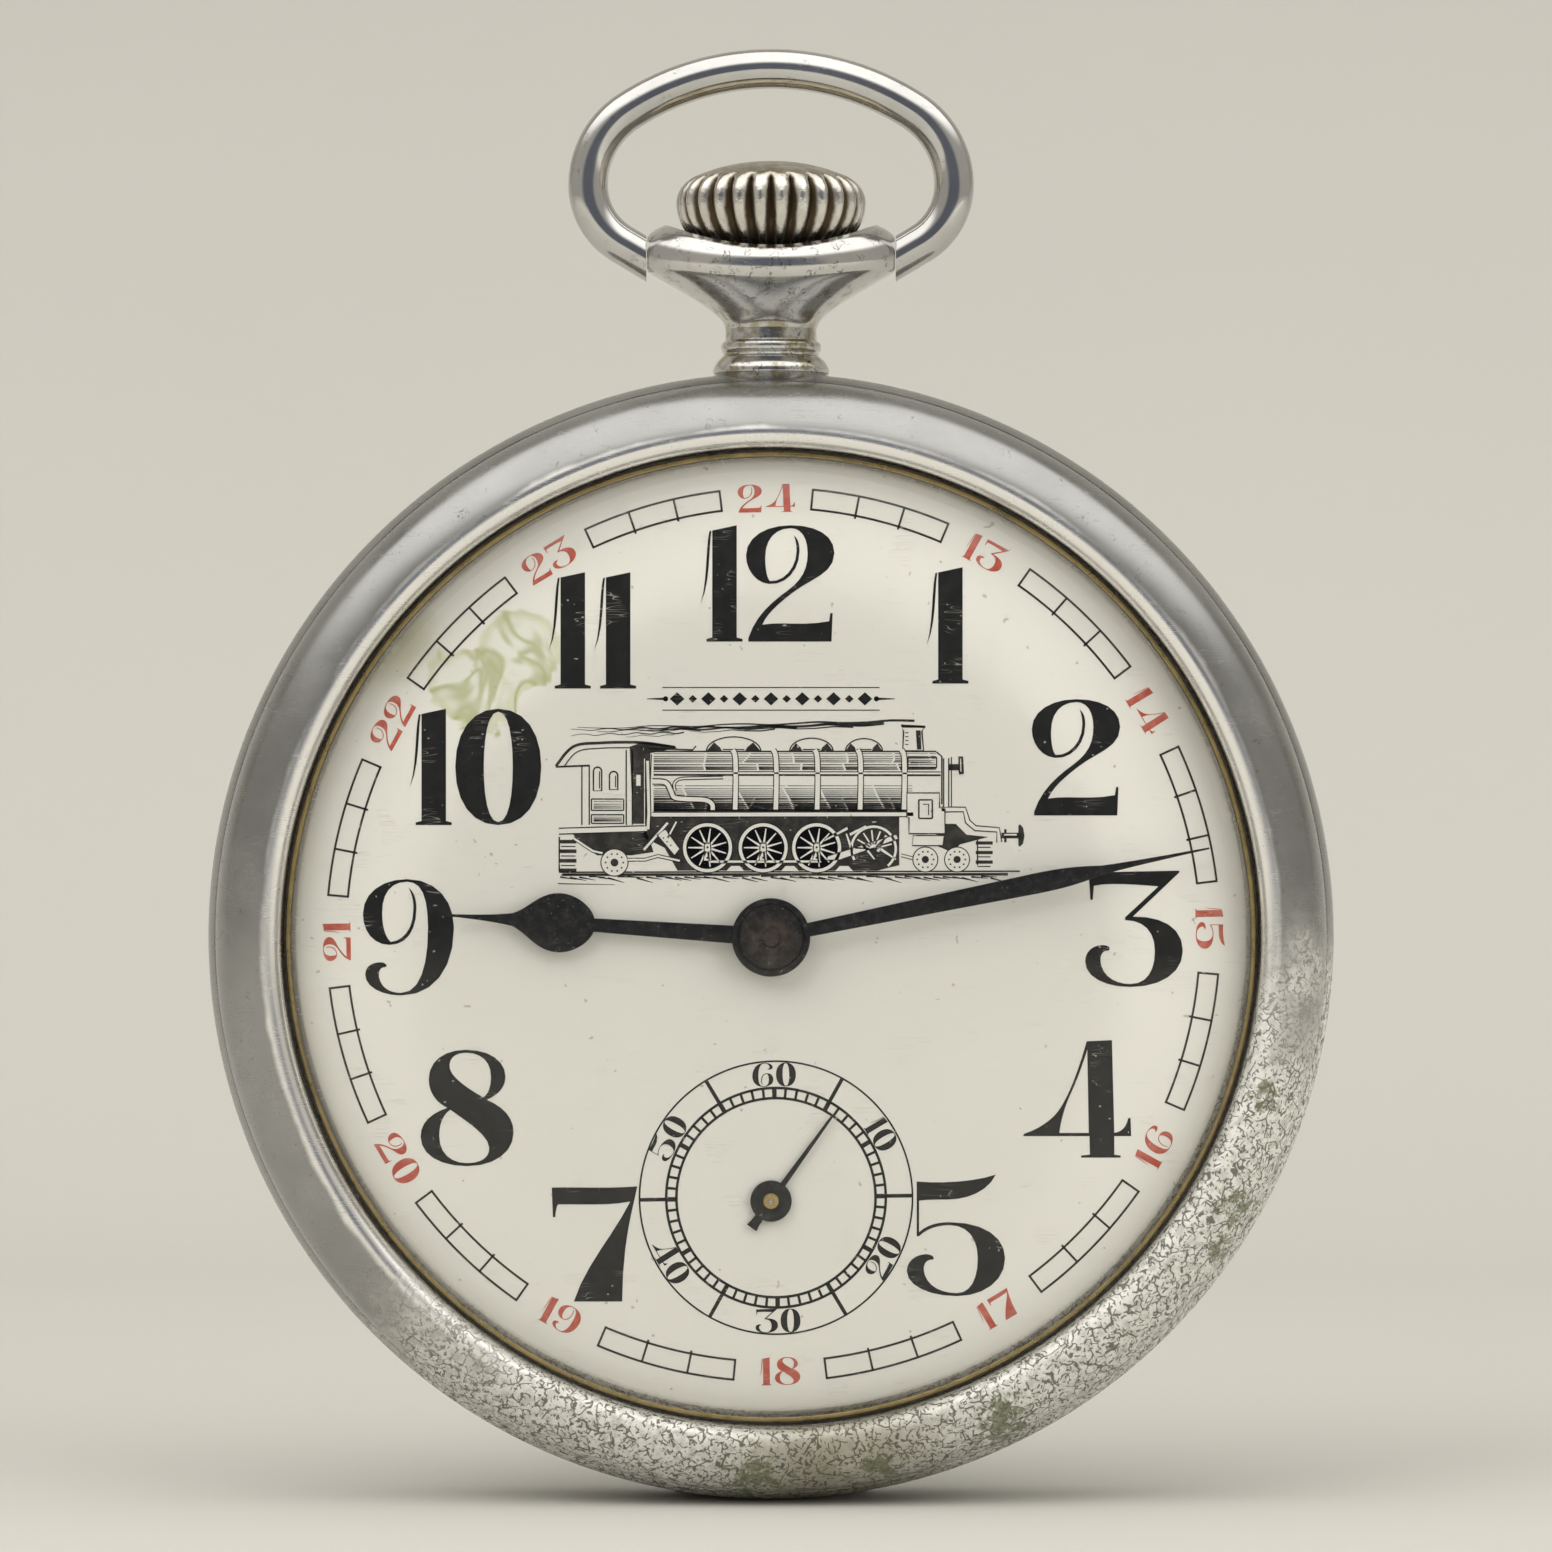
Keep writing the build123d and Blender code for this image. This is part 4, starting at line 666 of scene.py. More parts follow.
def soft_limit(value, limit, softness=0.16):
    """The value held under the limit, turning over a small radius."""
    size = abs(value)
    if size < limit - softness:
        return value
    over = size - (limit - softness)
    return math.copysign(limit - softness + softness * math.tanh(over / softness), value)


def pendant():
    steps = 240
    foot = rounded([
        (0.9, 25.0), (2.62, 25.0), (2.65, 26.02), (2.70, 26.10, 0.05), (2.70, 26.30, 0.12), (2.52, 26.62),
        (2.28, 26.86, 0.08), (2.20, 26.93, 0.05), (2.20, 27.02, 0.04), (2.30, 27.12, 0.08), (2.34, 27.32, 0.1),
        (2.28, 27.50, 0.06), (2.13, 27.60, 0.05), (2.11, 28.15),
    ])
    rows = []
    for radius, up in foot[1:]:
        rows.append([on_stem(radius, up, math.tau * k / steps) for k in range(steps)])

    def crest(angle):
        return saddle(4.75 * math.cos(angle))

    head = smooth_rows([
        (2.12, 2.10, 0.00), (2.32, 2.25, 0.09), (3.05, 2.68, 0.22), (4.45, 3.30, 0.40), (5.75, 3.84, 0.56),
        (6.02, 4.06, 0.64), (6.08, 4.14, 0.74), (5.92, 4.08, 0.86), (5.42, 3.86, 0.955), (5.0, 3.66, 1.00),
    ], 7)
    for half_w, half_d, part in head:
        row = []
        for k in range(steps):
            angle = math.tau * k / steps
            x = soft_limit(half_w * math.cos(angle), EAR_X)
            z = 28.15 + (crest(angle) - 28.15) * part
            row.append((x, half_d * math.sin(angle), z))
        rows.append(row)
    for inset, drop in ((0.06, -0.03), (0.18, -0.01), (0.34, 0.10), (0.50, 0.35), (0.75, 0.85), (1.2, 1.25)):
        row = []
        for k in range(steps):
            angle = math.tau * k / steps
            wide, deep = 5.0 - inset, 3.66 - inset * 0.72
            row.append((wide * math.cos(angle), deep * math.sin(angle), max(crest(angle) - drop, 30.95)))
        rows.append(row)
    rows.append([on_stem(0.9, 30.9, math.tau * k / steps) for k in range(steps)])
    rows.append([on_stem(0.9, 25.0, math.tau * k / steps) for k in range(steps)])
    piece("pendant_head", *grid(rows, closed_rows=True), MATERIALS["pendant_nickel"], "case", ["pendant"],
          "nickel_case", sharp=40)


def bow():
    wire_r, around = 0.925, 48
    half_w, widest_z, rise, side_r, low_r, low_turn = 8.5, 34.85, 5.4, 4.1, 3.17, math.radians(59)
    side_c = half_w - side_r
    top_r = (side_c**2 + rise**2 - side_r**2) / (2 * (rise - side_r))
    meet = math.atan2(top_r - rise, side_c)
    low_c = half_w - low_r

    def arc(cx, cz, radius, start, end, count):
        turns = [start + (end - start) * n / count for n in range(count)]
        return [(cx + radius * math.cos(t), cz + radius * math.sin(t), t) for t in turns]

    heel = -low_turn
    straight = 2.1
    run = (low_c + low_r * math.cos(heel) + straight * math.sin(heel),
           widest_z + low_r * math.sin(heel) - straight * math.cos(heel))
    lower, upper = arc(low_c, widest_z, low_r, heel, 0, 20), arc(side_c, widest_z, side_r, 0, meet, 24)
    right = [(*run, heel), *lower, *upper]
    top = arc(0, widest_z + rise - top_r, top_r, meet, math.pi - meet, 48)
    left = [(-x, z, math.pi - t) for x, z, t in reversed(right)]
    rows = []
    for x, z, out in right + top + left:
        row = []
        for k in range(around):
            turn = math.tau * k / around
            reach = wire_r * math.cos(turn)
            px, pz = x + reach * math.cos(out), z + reach * math.sin(out)
            if z < run[1] + 0.01:
                # mitred against the pendant's side
                pz += (EAR_X + 0.04 - abs(px)) / math.tan(low_turn)
                px = math.copysign(EAR_X + 0.04, px)
            row.append((px, wire_r * math.sin(turn), pz))
        rows.append(row)
    piece("bow_wire", *grid(rows), MATERIALS["bow_nickel"], "bow", ["bow"], "nickel_case", sharp=50)


def crown():
    """Rounded flutes between sharp grooves, dying out under the cap."""
    flutes, points_per_flute, base_z = 26, 14, 31.75
    around = flutes * points_per_flute
    widest, shoulder = (CROWN_R, 34.0), (3.6, 35.2)
    profile = [(2.7, base_z, 0.6)] + [
        (r, z, 1.0) for r, z in arc3((2.75, 31.8), (3.95, 32.65), widest, 18)
    ] + [
        (r, z, min(max((35.16 - z) / 0.34, 0.0), 1.0) ** 0.7)
        for r, z in arc3(widest, (4.22, 34.65), shoulder, 24)[1:]
    ] + [
        (r, z, 0.0) for r, z in arc3(shoulder, (1.8, 35.78), (0.25, 35.94), 14)[1:]
    ]
    rows, marks = [], []
    for radius, up, share in profile:
        row = []
        for k in range(around):
            angle = math.tau * k / around
            # ridges broad and round above, thin below
            hollow = 1 - abs(math.cos(flutes / 2 * angle)) ** (1.7 - 0.9 * min(max((up - 32.4) / 2.2, 0), 1))
            depth = 0.42 * share * hollow * min(radius / 3.6, 1.0)
            row.append(on_stem(radius - depth, up, angle))
            marks.append(hollow * share)
        rows.append(row)
    rows.insert(0, [on_stem(0.6, base_z, math.tau * k / around) for k in range(around)])
    marks = [0.5] * around + marks
    piece("crown_knob", *grid(rows), MATERIALS["crown_nickel"], "stem", ["crown"], "crown_nickel", sharp=60,
          values={"groove": marks})


case_band()
rear_cover()
bezel()
crystal()
pendant()
bow()
crown()


# ---------------------------------------------------------------- dial
def dial():
    edge = DIAL_R
    profile = rounded([
        (1.15, DIAL_H - 0.8), (edge - 0.1, DIAL_H - 0.8), (edge, DIAL_H - 0.7),
        *arc3((edge, DIAL_H - 0.25), (edge - 0.073, DIAL_H - 0.073), (edge - 0.25, DIAL_H), 8),
        (1.15, DIAL_H, 0.05),
    ])
    piece("enamel_dial", *turned(profile), MATERIALS["white_enamel"], "case", ["dial"], "white_enamel")
    rim = rounded([
        (22.10, 8.1), (22.42, 8.1), (22.42, 8.6), (22.31, 8.75), (22.31, 9.02, 0.06), (22.10, 9.02, 0.06),
    ])
    piece("gilt_rim", *turned(rim), MATERIALS["gilt_brass"], "case", ["dial_rim"], "gilt_brass")


def ring_points(x, z, radius, count):
    turns = [math.tau * n / count for n in range(count)]
    return [(x + radius * math.cos(t), z + radius * math.sin(t)) for t in turns]


class Ink:
    """Flat printing on the dial, so many layers high: strips and filled shapes at (X, Z)."""

    def __init__(self, layers=1):
        self.verts, self.faces = [], []
        self.top = STEM_H - DIAL_H - INK_H * layers

    def _levels(self, points):
        first = len(self.verts)
        self.verts += [(x, self.top, z) for x, z in points]
        self.verts += [(x, STEM_H - DIAL_H + 0.004, z) for x, z in points]
        return first

    def strip(self, left, right, closed=False):
        count = len(left)
        a = self._levels(list(left) + list(right))
        b, back = a + count, 2 * count
        for n in range(count if closed else count - 1):
            m = (n + 1) % count
            self.faces += [
                (a + n, b + n, b + m, a + m),
                (a + n + back, a + m + back, b + m + back, b + n + back),
                (a + n, a + m, a + m + back, a + n + back),
                (b + n, b + n + back, b + m + back, b + m),
            ]
        if not closed:
            for n in (0, count - 1):
                self.faces.append((a + n, a + n + back, b + n + back, b + n))

    def line(self, points, width, closed=False, end_width=None):
        left, right = [], []
        count = len(points)
        for n, (x, z) in enumerate(points):
            x0, z0 = points[n - 1] if (n or closed) else points[0]
            x1, z1 = points[(n + 1) % count] if (n < count - 1 or closed) else points[-1]
            length = math.hypot(x1 - x0, z1 - z0) or 1.0
            half = width / 2
            if end_width is not None:
                half += (end_width - width) / 2 * n / (count - 1)
            dx, dz = -(z1 - z0) / length * half, (x1 - x0) / length * half
            left.append((x + dx, z + dz))
            right.append((x - dx, z - dz))
        self.strip(left, right, closed)

    def fill(self, points):
        count = len(points)
        a = self._levels(points)
        self.faces.append(tuple(range(a, a + count)))
        self.faces.append(tuple(range(a + 2 * count - 1, a + count - 1, -1)))
        for n in range(count):
            m = (n + 1) % count
            self.faces.append((a + n, a + m, a + m + count, a + n + count))

    def circle(self, x, z, radius, width, start=0.0, end=360.0, steps=None):
        steps = steps or max(24, int(radius * 30))
        whole = end - start >= 360
        count = steps if whole else steps + 1
        turns = [math.radians(start + (end - start) * n / steps) for n in range(count)]
        self.line([(x + radius * math.cos(t), z + radius * math.sin(t)) for t in turns], width, whole)

    def dot(self, x, z, radius):
        self.fill(ring_points(x, z, radius, 20))

    def box(self, x0, z0, x1, z1, width=None):
        corners = [(x0, z0), (x1, z0), (x1, z1), (x0, z1)]
        if width is None:
            self.fill(corners)
            return
        for n in range(4):
            self.line([corners[n], corners[(n + 1) % 4]], width)

    def piece(self, name, mat, slot="white_enamel"):
        return piece(name, self.verts, self.faces, mat, "case", slot=slot)


# Fat-face numerals, one unit high: an outline and its counters. M starts a loop, L is a line, C a Bezier curve.
DIGITS = {
    "0": (0.74, (
        "M .37 1 C .60 1 .74 .80 .74 .50 C .74 .20 .60 0 .37 0 C .14 0 0 .20 0 .50 C 0 .80 .14 1 .37 1 "
        "M .37 .975 C .28 .975 .245 .75 .245 .50 C .245 .25 .28 .025 .37 .025 C .46 .025 .495 .25 .495 "
        ".50 C .495 .75 .46 .975 .37 .975"
    )),
    "1": (0.36, (
        "M .10 .955 L .31 1 L .31 .035 L .36 .022 L .36 0 L .05 0 L .05 .022 L .10 .035 M .092 .955 C "
        ".068 .80 .085 .50 0 .33 C .058 .50 .042 .80 .075 .948"
    )),
    "2": (0.76, (
        "M .386 1 C .60 1 .76 .92 .76 .76 C .76 .58 .55 .54 .40 .42 C .27 .32 .18 .24 .14 .145 C .30 "
        ".175 .50 .13 .715 .175 L .725 .245 L .745 .245 L .735 0 L .02 0 L .02 .03 C .08 .22 .22 .34 "
        ".36 .44 C .48 .53 .53 .62 .53 .76 C .53 .90 .47 .975 .386 .975 C .25 .975 .165 .88 .165 .72 C "
        ".165 .62 .18 .55 .205 .52 C .32 .51 .435 .63 .435 .78 C .435 .84 .425 .88 .41 .915 C .45 .88 "
        ".46 .84 .46 .78 C .46 .61 .34 .485 .20 .495 C .08 .505 0 .62 0 .74 C 0 .90 .17 1 .386 1"
    )),
    "3": (0.84, (
        "M .03 .985 L .81 1 L .81 .985 L .41 .605 C .65 .61 .84 .52 .84 .31 C .84 .12 .65 0 .39 0 C .16 "
        "0 0 .09 0 .22 C 0 .31 .07 .36 .15 .36 C .20 .36 .22 .34 .205 .315 C .13 .32 .12 .24 .14 .18 C "
        ".17 .08 .27 .025 .39 .025 C .53 .025 .60 .14 .60 .31 C .60 .48 .50 .575 .345 .575 L .345 .60 L "
        ".63 .865 C .45 .88 .20 .90 .075 .87 L .065 .75 L .045 .75"
    )),
    "4": (0.93, (
        "M .548 1 L .765 1.01 L .785 .215 L .80 .215 C .86 .23 .89 .27 .905 .34 L .925 .34 L .93 .185 L "
        ".785 .185 L .785 .025 L .84 .018 L .84 0 L .50 0 L .50 .018 L .575 .025 L .572 .185 L 0 .185 L "
        ".01 .205 C .15 .25 .25 .33 .30 .395 C .38 .50 .47 .72 .548 1 M .553 .93 C .50 .76 .45 .63 .41 "
        ".55 C .36 .44 .325 .32 .312 .212 L .566 .212"
    )),
    "5": (0.845, (
        "M .085 .985 C .30 .965 .60 .985 .765 1.045 C .70 .90 .52 .83 .35 .83 C .26 .83 .16 .83 .105 "
        ".82 L .105 .55 C .18 .62 .28 .635 .37 .635 C .66 .635 .845 .51 .845 .325 C .845 .13 .66 0 .43 "
        "0 C .19 0 0 .09 0 .215 C 0 .30 .07 .355 .16 .36 C .21 .36 .24 .34 .23 .315 C .15 .32 .13 .25 "
        ".155 .18 C .19 .08 .30 .025 .43 .025 C .55 .025 .61 .15 .61 .325 C .61 .50 .52 .61 .37 .61 C "
        ".26 .61 .17 .58 .105 .515 L .085 .515"
    )),
    "7": (0.735, (
        "M 0 .98 C .20 .985 .50 .97 .735 .99 C .70 .80 .61 .55 .605 0 L .19 0 C .28 .30 .55 .60 .675 "
        ".86 C .50 .82 .20 .84 .055 .835 C .04 .82 .032 .76 .03 .725 L .01 .725"
    )),
    "8": (0.8, (
        "M .39 1 C .60 1 .73 .90 .73 .77 C .73 .67 .66 .61 .57 .57 C .71 .51 .80 .42 .80 .29 C .80 .12 "
        ".64 0 .40 0 C .16 0 0 .10 0 .255 C 0 .38 .10 .46 .23 .50 C .13 .55 .07 .63 .07 .75 C .07 .90 "
        ".20 1 .39 1 M .39 .975 C .27 .975 .24 .90 .25 .84 C .27 .76 .40 .67 .54 .59 C .59 .63 .605 .69 "
        ".605 .77 C .605 .90 .52 .975 .39 .975 M .40 .025 C .53 .025 .595 .08 .59 .16 C .58 .27 .40 .38 "
        ".255 .485 C .19 .44 .16 .36 .16 .26 C .16 .11 .26 .025 .40 .025"
    )),
    "9": (0.783, (
        "M .38 1 C .63 1 .783 .82 .783 .58 C .783 .22 .60 0 .33 0 C .15 0 .02 .08 .02 .18 C .02 .25 .08 "
        ".285 .15 .285 C .19 .285 .21 .265 .20 .245 C .14 .25 .12 .19 .15 .12 C .18 .05 .25 .022 .33 "
        ".022 C .49 .022 .56 .25 .56 .58 C .56 .86 .50 .978 .38 .978 C .24 .978 .165 .88 .165 .71 C "
        ".165 .60 .19 .50 .24 .46 C .34 .47 .435 .56 .435 .75 C .435 .82 .42 .88 .39 .93 C .44 .89 .46 "
        ".83 .46 .75 C .46 .55 .37 .435 .23 .435 C .09 .435 0 .55 0 .70 C 0 .88 .16 1 .38 1"
    )),
}


def loops(path):
    """The Bezier knots (point, handle in, handle out) of each loop in a path."""
    words, out, n = path.split(), [], 0
    while n < len(words):
        kind = words[n]
        if kind == "C":
            x1, y1, x2, y2, x, y = (float(w) for w in words[n + 1:n + 7])
            out[-1][-1][2] = (x1, y1)
            out[-1].append([(x, y), (x2, y2), (x, y)])
            n += 7
            continue
        at = (float(words[n + 1]), float(words[n + 2]))
        if kind == "M":
            out.append([])
        out[-1].append([at, at, at])
        n += 3
    for loop in out:
        if len(loop) > 1 and math.dist(loop[0][0], loop[-1][0]) < 1e-6:
            loop[0][1] = loop[-1][1]
            loop.pop()
    return out


def glyph(digit):
    """Width and loops of a digit; 6 is 9 turned over."""
    if digit != "6":
        width, path = DIGITS[digit]
        return width, loops(path)
    width, path = DIGITS["9"]
    turn = lambda p: (width - p[0], 1 - p[1])
    return width, [[[turn(p) for p in knot] for knot in loop] for loop in loops(path)]


def flat_curve(name, knot_loops, thickness, bevel=0.0, resolution=6):
    """A filled curve in its own XY plane, drawn out to a thickness; returns its mesh."""
    curve = bpy.data.curves.new(name, "CURVE")
    curve.dimensions = "2D"
    curve.fill_mode = "BOTH"
    curve.resolution_u = resolution
    curve.extrude = thickness / 2 - bevel
    curve.bevel_depth = bevel
    curve.bevel_resolution = 2
    curve.offset = -bevel
    for loop in knot_loops:
        spline = curve.splines.new("BEZIER")
        spline.bezier_points.add(len(loop) - 1)
        for knot, (at, before, after) in zip(spline.bezier_points, loop):
            knot.handle_left_type = knot.handle_right_type = "FREE"
            knot.co, knot.handle_left, knot.handle_right = (*at, 0), (*before, 0), (*after, 0)
        spline.use_cyclic_u = True
    holder = bpy.data.objects.new(name, curve)
    mesh = bpy.data.meshes.new_from_object(holder)
    bpy.data.objects.remove(holder)
    bpy.data.curves.remove(curve)
    work = bmesh.new()
    work.from_mesh(mesh)
    bmesh.ops.remove_doubles(work, verts=work.verts, dist=1e-5)
    verts = [tuple(v.co) for v in work.verts]
    faces = [[v.index for v in face.verts] for face in work.faces]
    work.free()
    bpy.data.meshes.remove(mesh)
    return verts, faces


def numerals(name, labels, height, mat, gap=0.05, stretch=1.0):
    """Labels as (text, x, z, turn in degrees clockwise), printed as one piece."""
    out = []
    for text, x, z, turn in labels:
        glyphs = [glyph(c) for c in text]
        total = sum(width for width, _ in glyphs) + gap * (len(text) - 1)
        way = math.radians(-turn)
        pen = -total / 2
        for width, shapes in glyphs:
            for loop in shapes:
                moved = []
                for knot in loop:
                    placed = []
                    for px, py in knot:
                        ux, uy = (pen + px) * height * stretch, (py - 0.5) * height
                        placed.append((
                            x + ux * math.cos(way) - uy * math.sin(way),
                            z + ux * math.sin(way) + uy * math.cos(way),
                        ))
                    moved.append(placed)
                out.append(moved)
            pen += width + gap
    verts, faces = flat_curve(name, out, INK_H + 0.004)
    top = STEM_H - DIAL_H - INK_H / 2
    piece(name, [(x, top - h, y) for x, y, h in verts], faces, mat, "case", slot="white_enamel")


def dial_point(radius, degrees):
    """A point of the dial, its angle counted clockwise from 12."""
    turn = math.radians(degrees)
    return radius * math.sin(turn), radius * math.cos(turn)


HOURS = [
    ("12", -0.16, 16.26), ("1", 8.12, 14.33), ("2", 14.03, 8.26), ("3", 16.70, 0.37), ("4", 14.08, -7.48),
    ("5", 8.51, -13.85), ("7", -8.12, -14.1), ("8", -13.98, -7.87), ("9", -16.68, -0.02), ("10", -13.59, 7.82),
    ("11", -8.21, 14.1),
]
RED_TURNS = {24: 0, 13: 30, 14: 60, 15: 90, 16: -60, 17: -30, 18: 0, 19: 30, 20: 60, 21: -90, 22: -60, 23: -30}
TRACK_IN, TRACK_OUT, FINE = 19.64, 20.55, 0.10
SECONDS_Z = -12.14
PRINT_TURN = -0.9                                  # the dial sits turned a little, against the clock
PRINT_AT = (0.10, 0.10)                            # and a little off the middle
SECONDS_PRINT = (0.23, -12.0)
SECONDS_OUT, SECONDS_MID, SECONDS_IN = 6.28, 5.05, 4.58
HOUR_SIZE, RED_SIZE, SECONDS_SIZE = 5.35, 1.28, 1.10
RED_R, SECONDS_TEXT_R = 20.08, 5.66


def printed(radius, degrees):
    x, z = dial_point(radius, degrees + PRINT_TURN)
    return x + PRINT_AT[0], z + PRINT_AT[1]


def dial_printing():
    hours = [(text, x, z, 0) for text, x, z in HOURS]
    numerals("hour_numerals", hours, HOUR_SIZE, MATERIALS["black_print"], 0.03)
    red = [(str(hour), *printed(RED_R, (hour - 12) * 30), turn + PRINT_TURN)
           for hour, turn in RED_TURNS.items()]
    numerals("red_numerals", red, RED_SIZE, MATERIALS["red_print"], 0.11, 1.14)
    track = Ink()
    for segment in range(12):
        start = segment * 30 + 6
        end = start + 18
        for radius in (TRACK_IN, TRACK_OUT):
            track.line([printed(radius, start + (end - start) * n / 24) for n in range(25)], FINE)
        for mark in range(4):
            turn = start + 6 * mark
            reach = FINE / 2 if mark in (0, 3) else 0.14
            ends = (TRACK_IN - reach, TRACK_OUT + FINE / 2)
            track.line([printed(r, turn) for r in ends], FINE)
    track.piece("minute_track", MATERIALS["engraving_print"])


def seconds_printing():
    ring = Ink()
    cx, cz = SECONDS_PRINT

    def tick(second, inner, outer, width):
        ends = (dial_point(r, second * 6 + PRINT_TURN) for r in (inner, outer))
        ring.line([(cx + x, cz + z) for x, z in ends], width)

    for radius, width in ((SECONDS_OUT, 0.08), (SECONDS_MID, 0.12), (SECONDS_IN, 0.12)):
        ring.circle(cx, cz, radius, width, steps=180)
    for second in range(60):
        tick(second, SECONDS_IN, SECONDS_MID, 0.21 if second % 5 == 0 else 0.12)
    for second in range(5, 60, 10):
        tick(second, SECONDS_MID, SECONDS_OUT, 0.17)
    ring.piece("seconds_track", MATERIALS["black_print"])
    turns = {60: 0, 10: 60, 20: -60, 30: 0, 40: 60, 50: -60}
    labels = []
    for second, turn in turns.items():
        x, z = dial_point(SECONDS_TEXT_R, second * 6 + PRINT_TURN)
        labels.append((str(second), cx + x, cz + z, turn + PRINT_TURN))
    numerals("seconds_numerals", labels, SECONDS_SIZE, MATERIALS["black_print"], 0.10, 1.12)


def ornament():
    """A plain rule of lozenges over the engine."""
    rule = Ink()
    middle = 10.95
    for step in range(-6, 7):
        size = 0.34 if step % 2 == 0 else 0.20
        x = step * 0.72
        rule.fill([(x - size, middle), (x, middle - size * 0.9), (x + size, middle), (x, middle + size * 0.9)])
    for side in (-1, 1):
        rule.line([(side * 4.75, middle), (side * 5.7, middle)], 0.13, end_width=0.03)
        rule.dot(side * 4.85, middle, 0.12)
    for height in (0.52, -0.52):
        rule.line([(-5.0, middle + height), (5.0, middle + height)], 0.045)
    rule.piece("ornament", MATERIALS["black_print"])


class Engraving:
    """Black ink on the enamel, enamel-white over it, and black again over that."""

    def __init__(self):
        self.ground, self.light, self.detail = Ink(1), Ink(2), Ink(3)

    def rail(self, points, width, edge=0.045):
        """A white strip between two black edges."""
        self.ground.line(points, width + 2 * edge)
        self.light.line(points, width)

    def patch(self, points, edge=0.045):
        """A white shape with a black edge."""
        self.light.fill(points)
        self.detail.line(points, edge, closed=True)

    def shade(self, x0, x1, z0, z1, count, width, seed):
        """Engraver's lines, broken here and there, closing up towards z1."""
        for n in range(count):
            z = z0 + (z1 - z0) * (n / max(count - 1, 1)) ** 0.8
            thick = width * (0.6 + 0.6 * n / count)
            x = x0
            while x < x1 - 0.2:
                reach = min(x + 1.3 + 1.1 * abs(math.sin(seed + 3.1 * n + x)), x1)
                self.ground.line([(x, z), (reach, z)], thick, end_width=thick * 0.55)
                x = reach + 0.10

    def driver(self, x, z, radius):
        self.ground.fill(ring_points(x, z, radius + 0.05, 44))
        self.light.circle(x, z, radius - 0.075, 0.15, steps=44)
        for n in range(11):
            way = math.tau * n / 11 + 0.28
            ends = [(x + r * math.cos(way), z + r * math.sin(way)) for r in (0.18, radius - 0.24)]
            self.light.line(ends, 0.10, end_width=0.05)
        weight = [(x - 0.13, z + 0.24), (x + 0.13, z + 0.24), (x + 0.18, z - 0.60), (x - 0.18, z - 0.60)]
        self.patch(weight, 0.04)
        self.detail.dot(x, z + 0.02, 0.05)
        self.detail.dot(x, z - 0.46, 0.05)

    def small_wheel(self, x, z, radius):
        self.ground.fill(ring_points(x, z, radius + 0.05, 30))
        self.light.fill(ring_points(x, z, radius, 30))
        self.detail.dot(x, z, radius * 0.30)
        for n in range(10):
            way = math.tau * n / 10
            self.detail.dot(x + radius * 0.68 * math.cos(way), z + radius * 0.68 * math.sin(way), 0.042)

    def pieces(self):
        self.ground.piece("engine_ground", MATERIALS["engraving_print"])
        self.light.piece("engine_lights", MATERIALS["white_enamel"])
        self.detail.piece("engine_details", MATERIALS["engraving_print"])


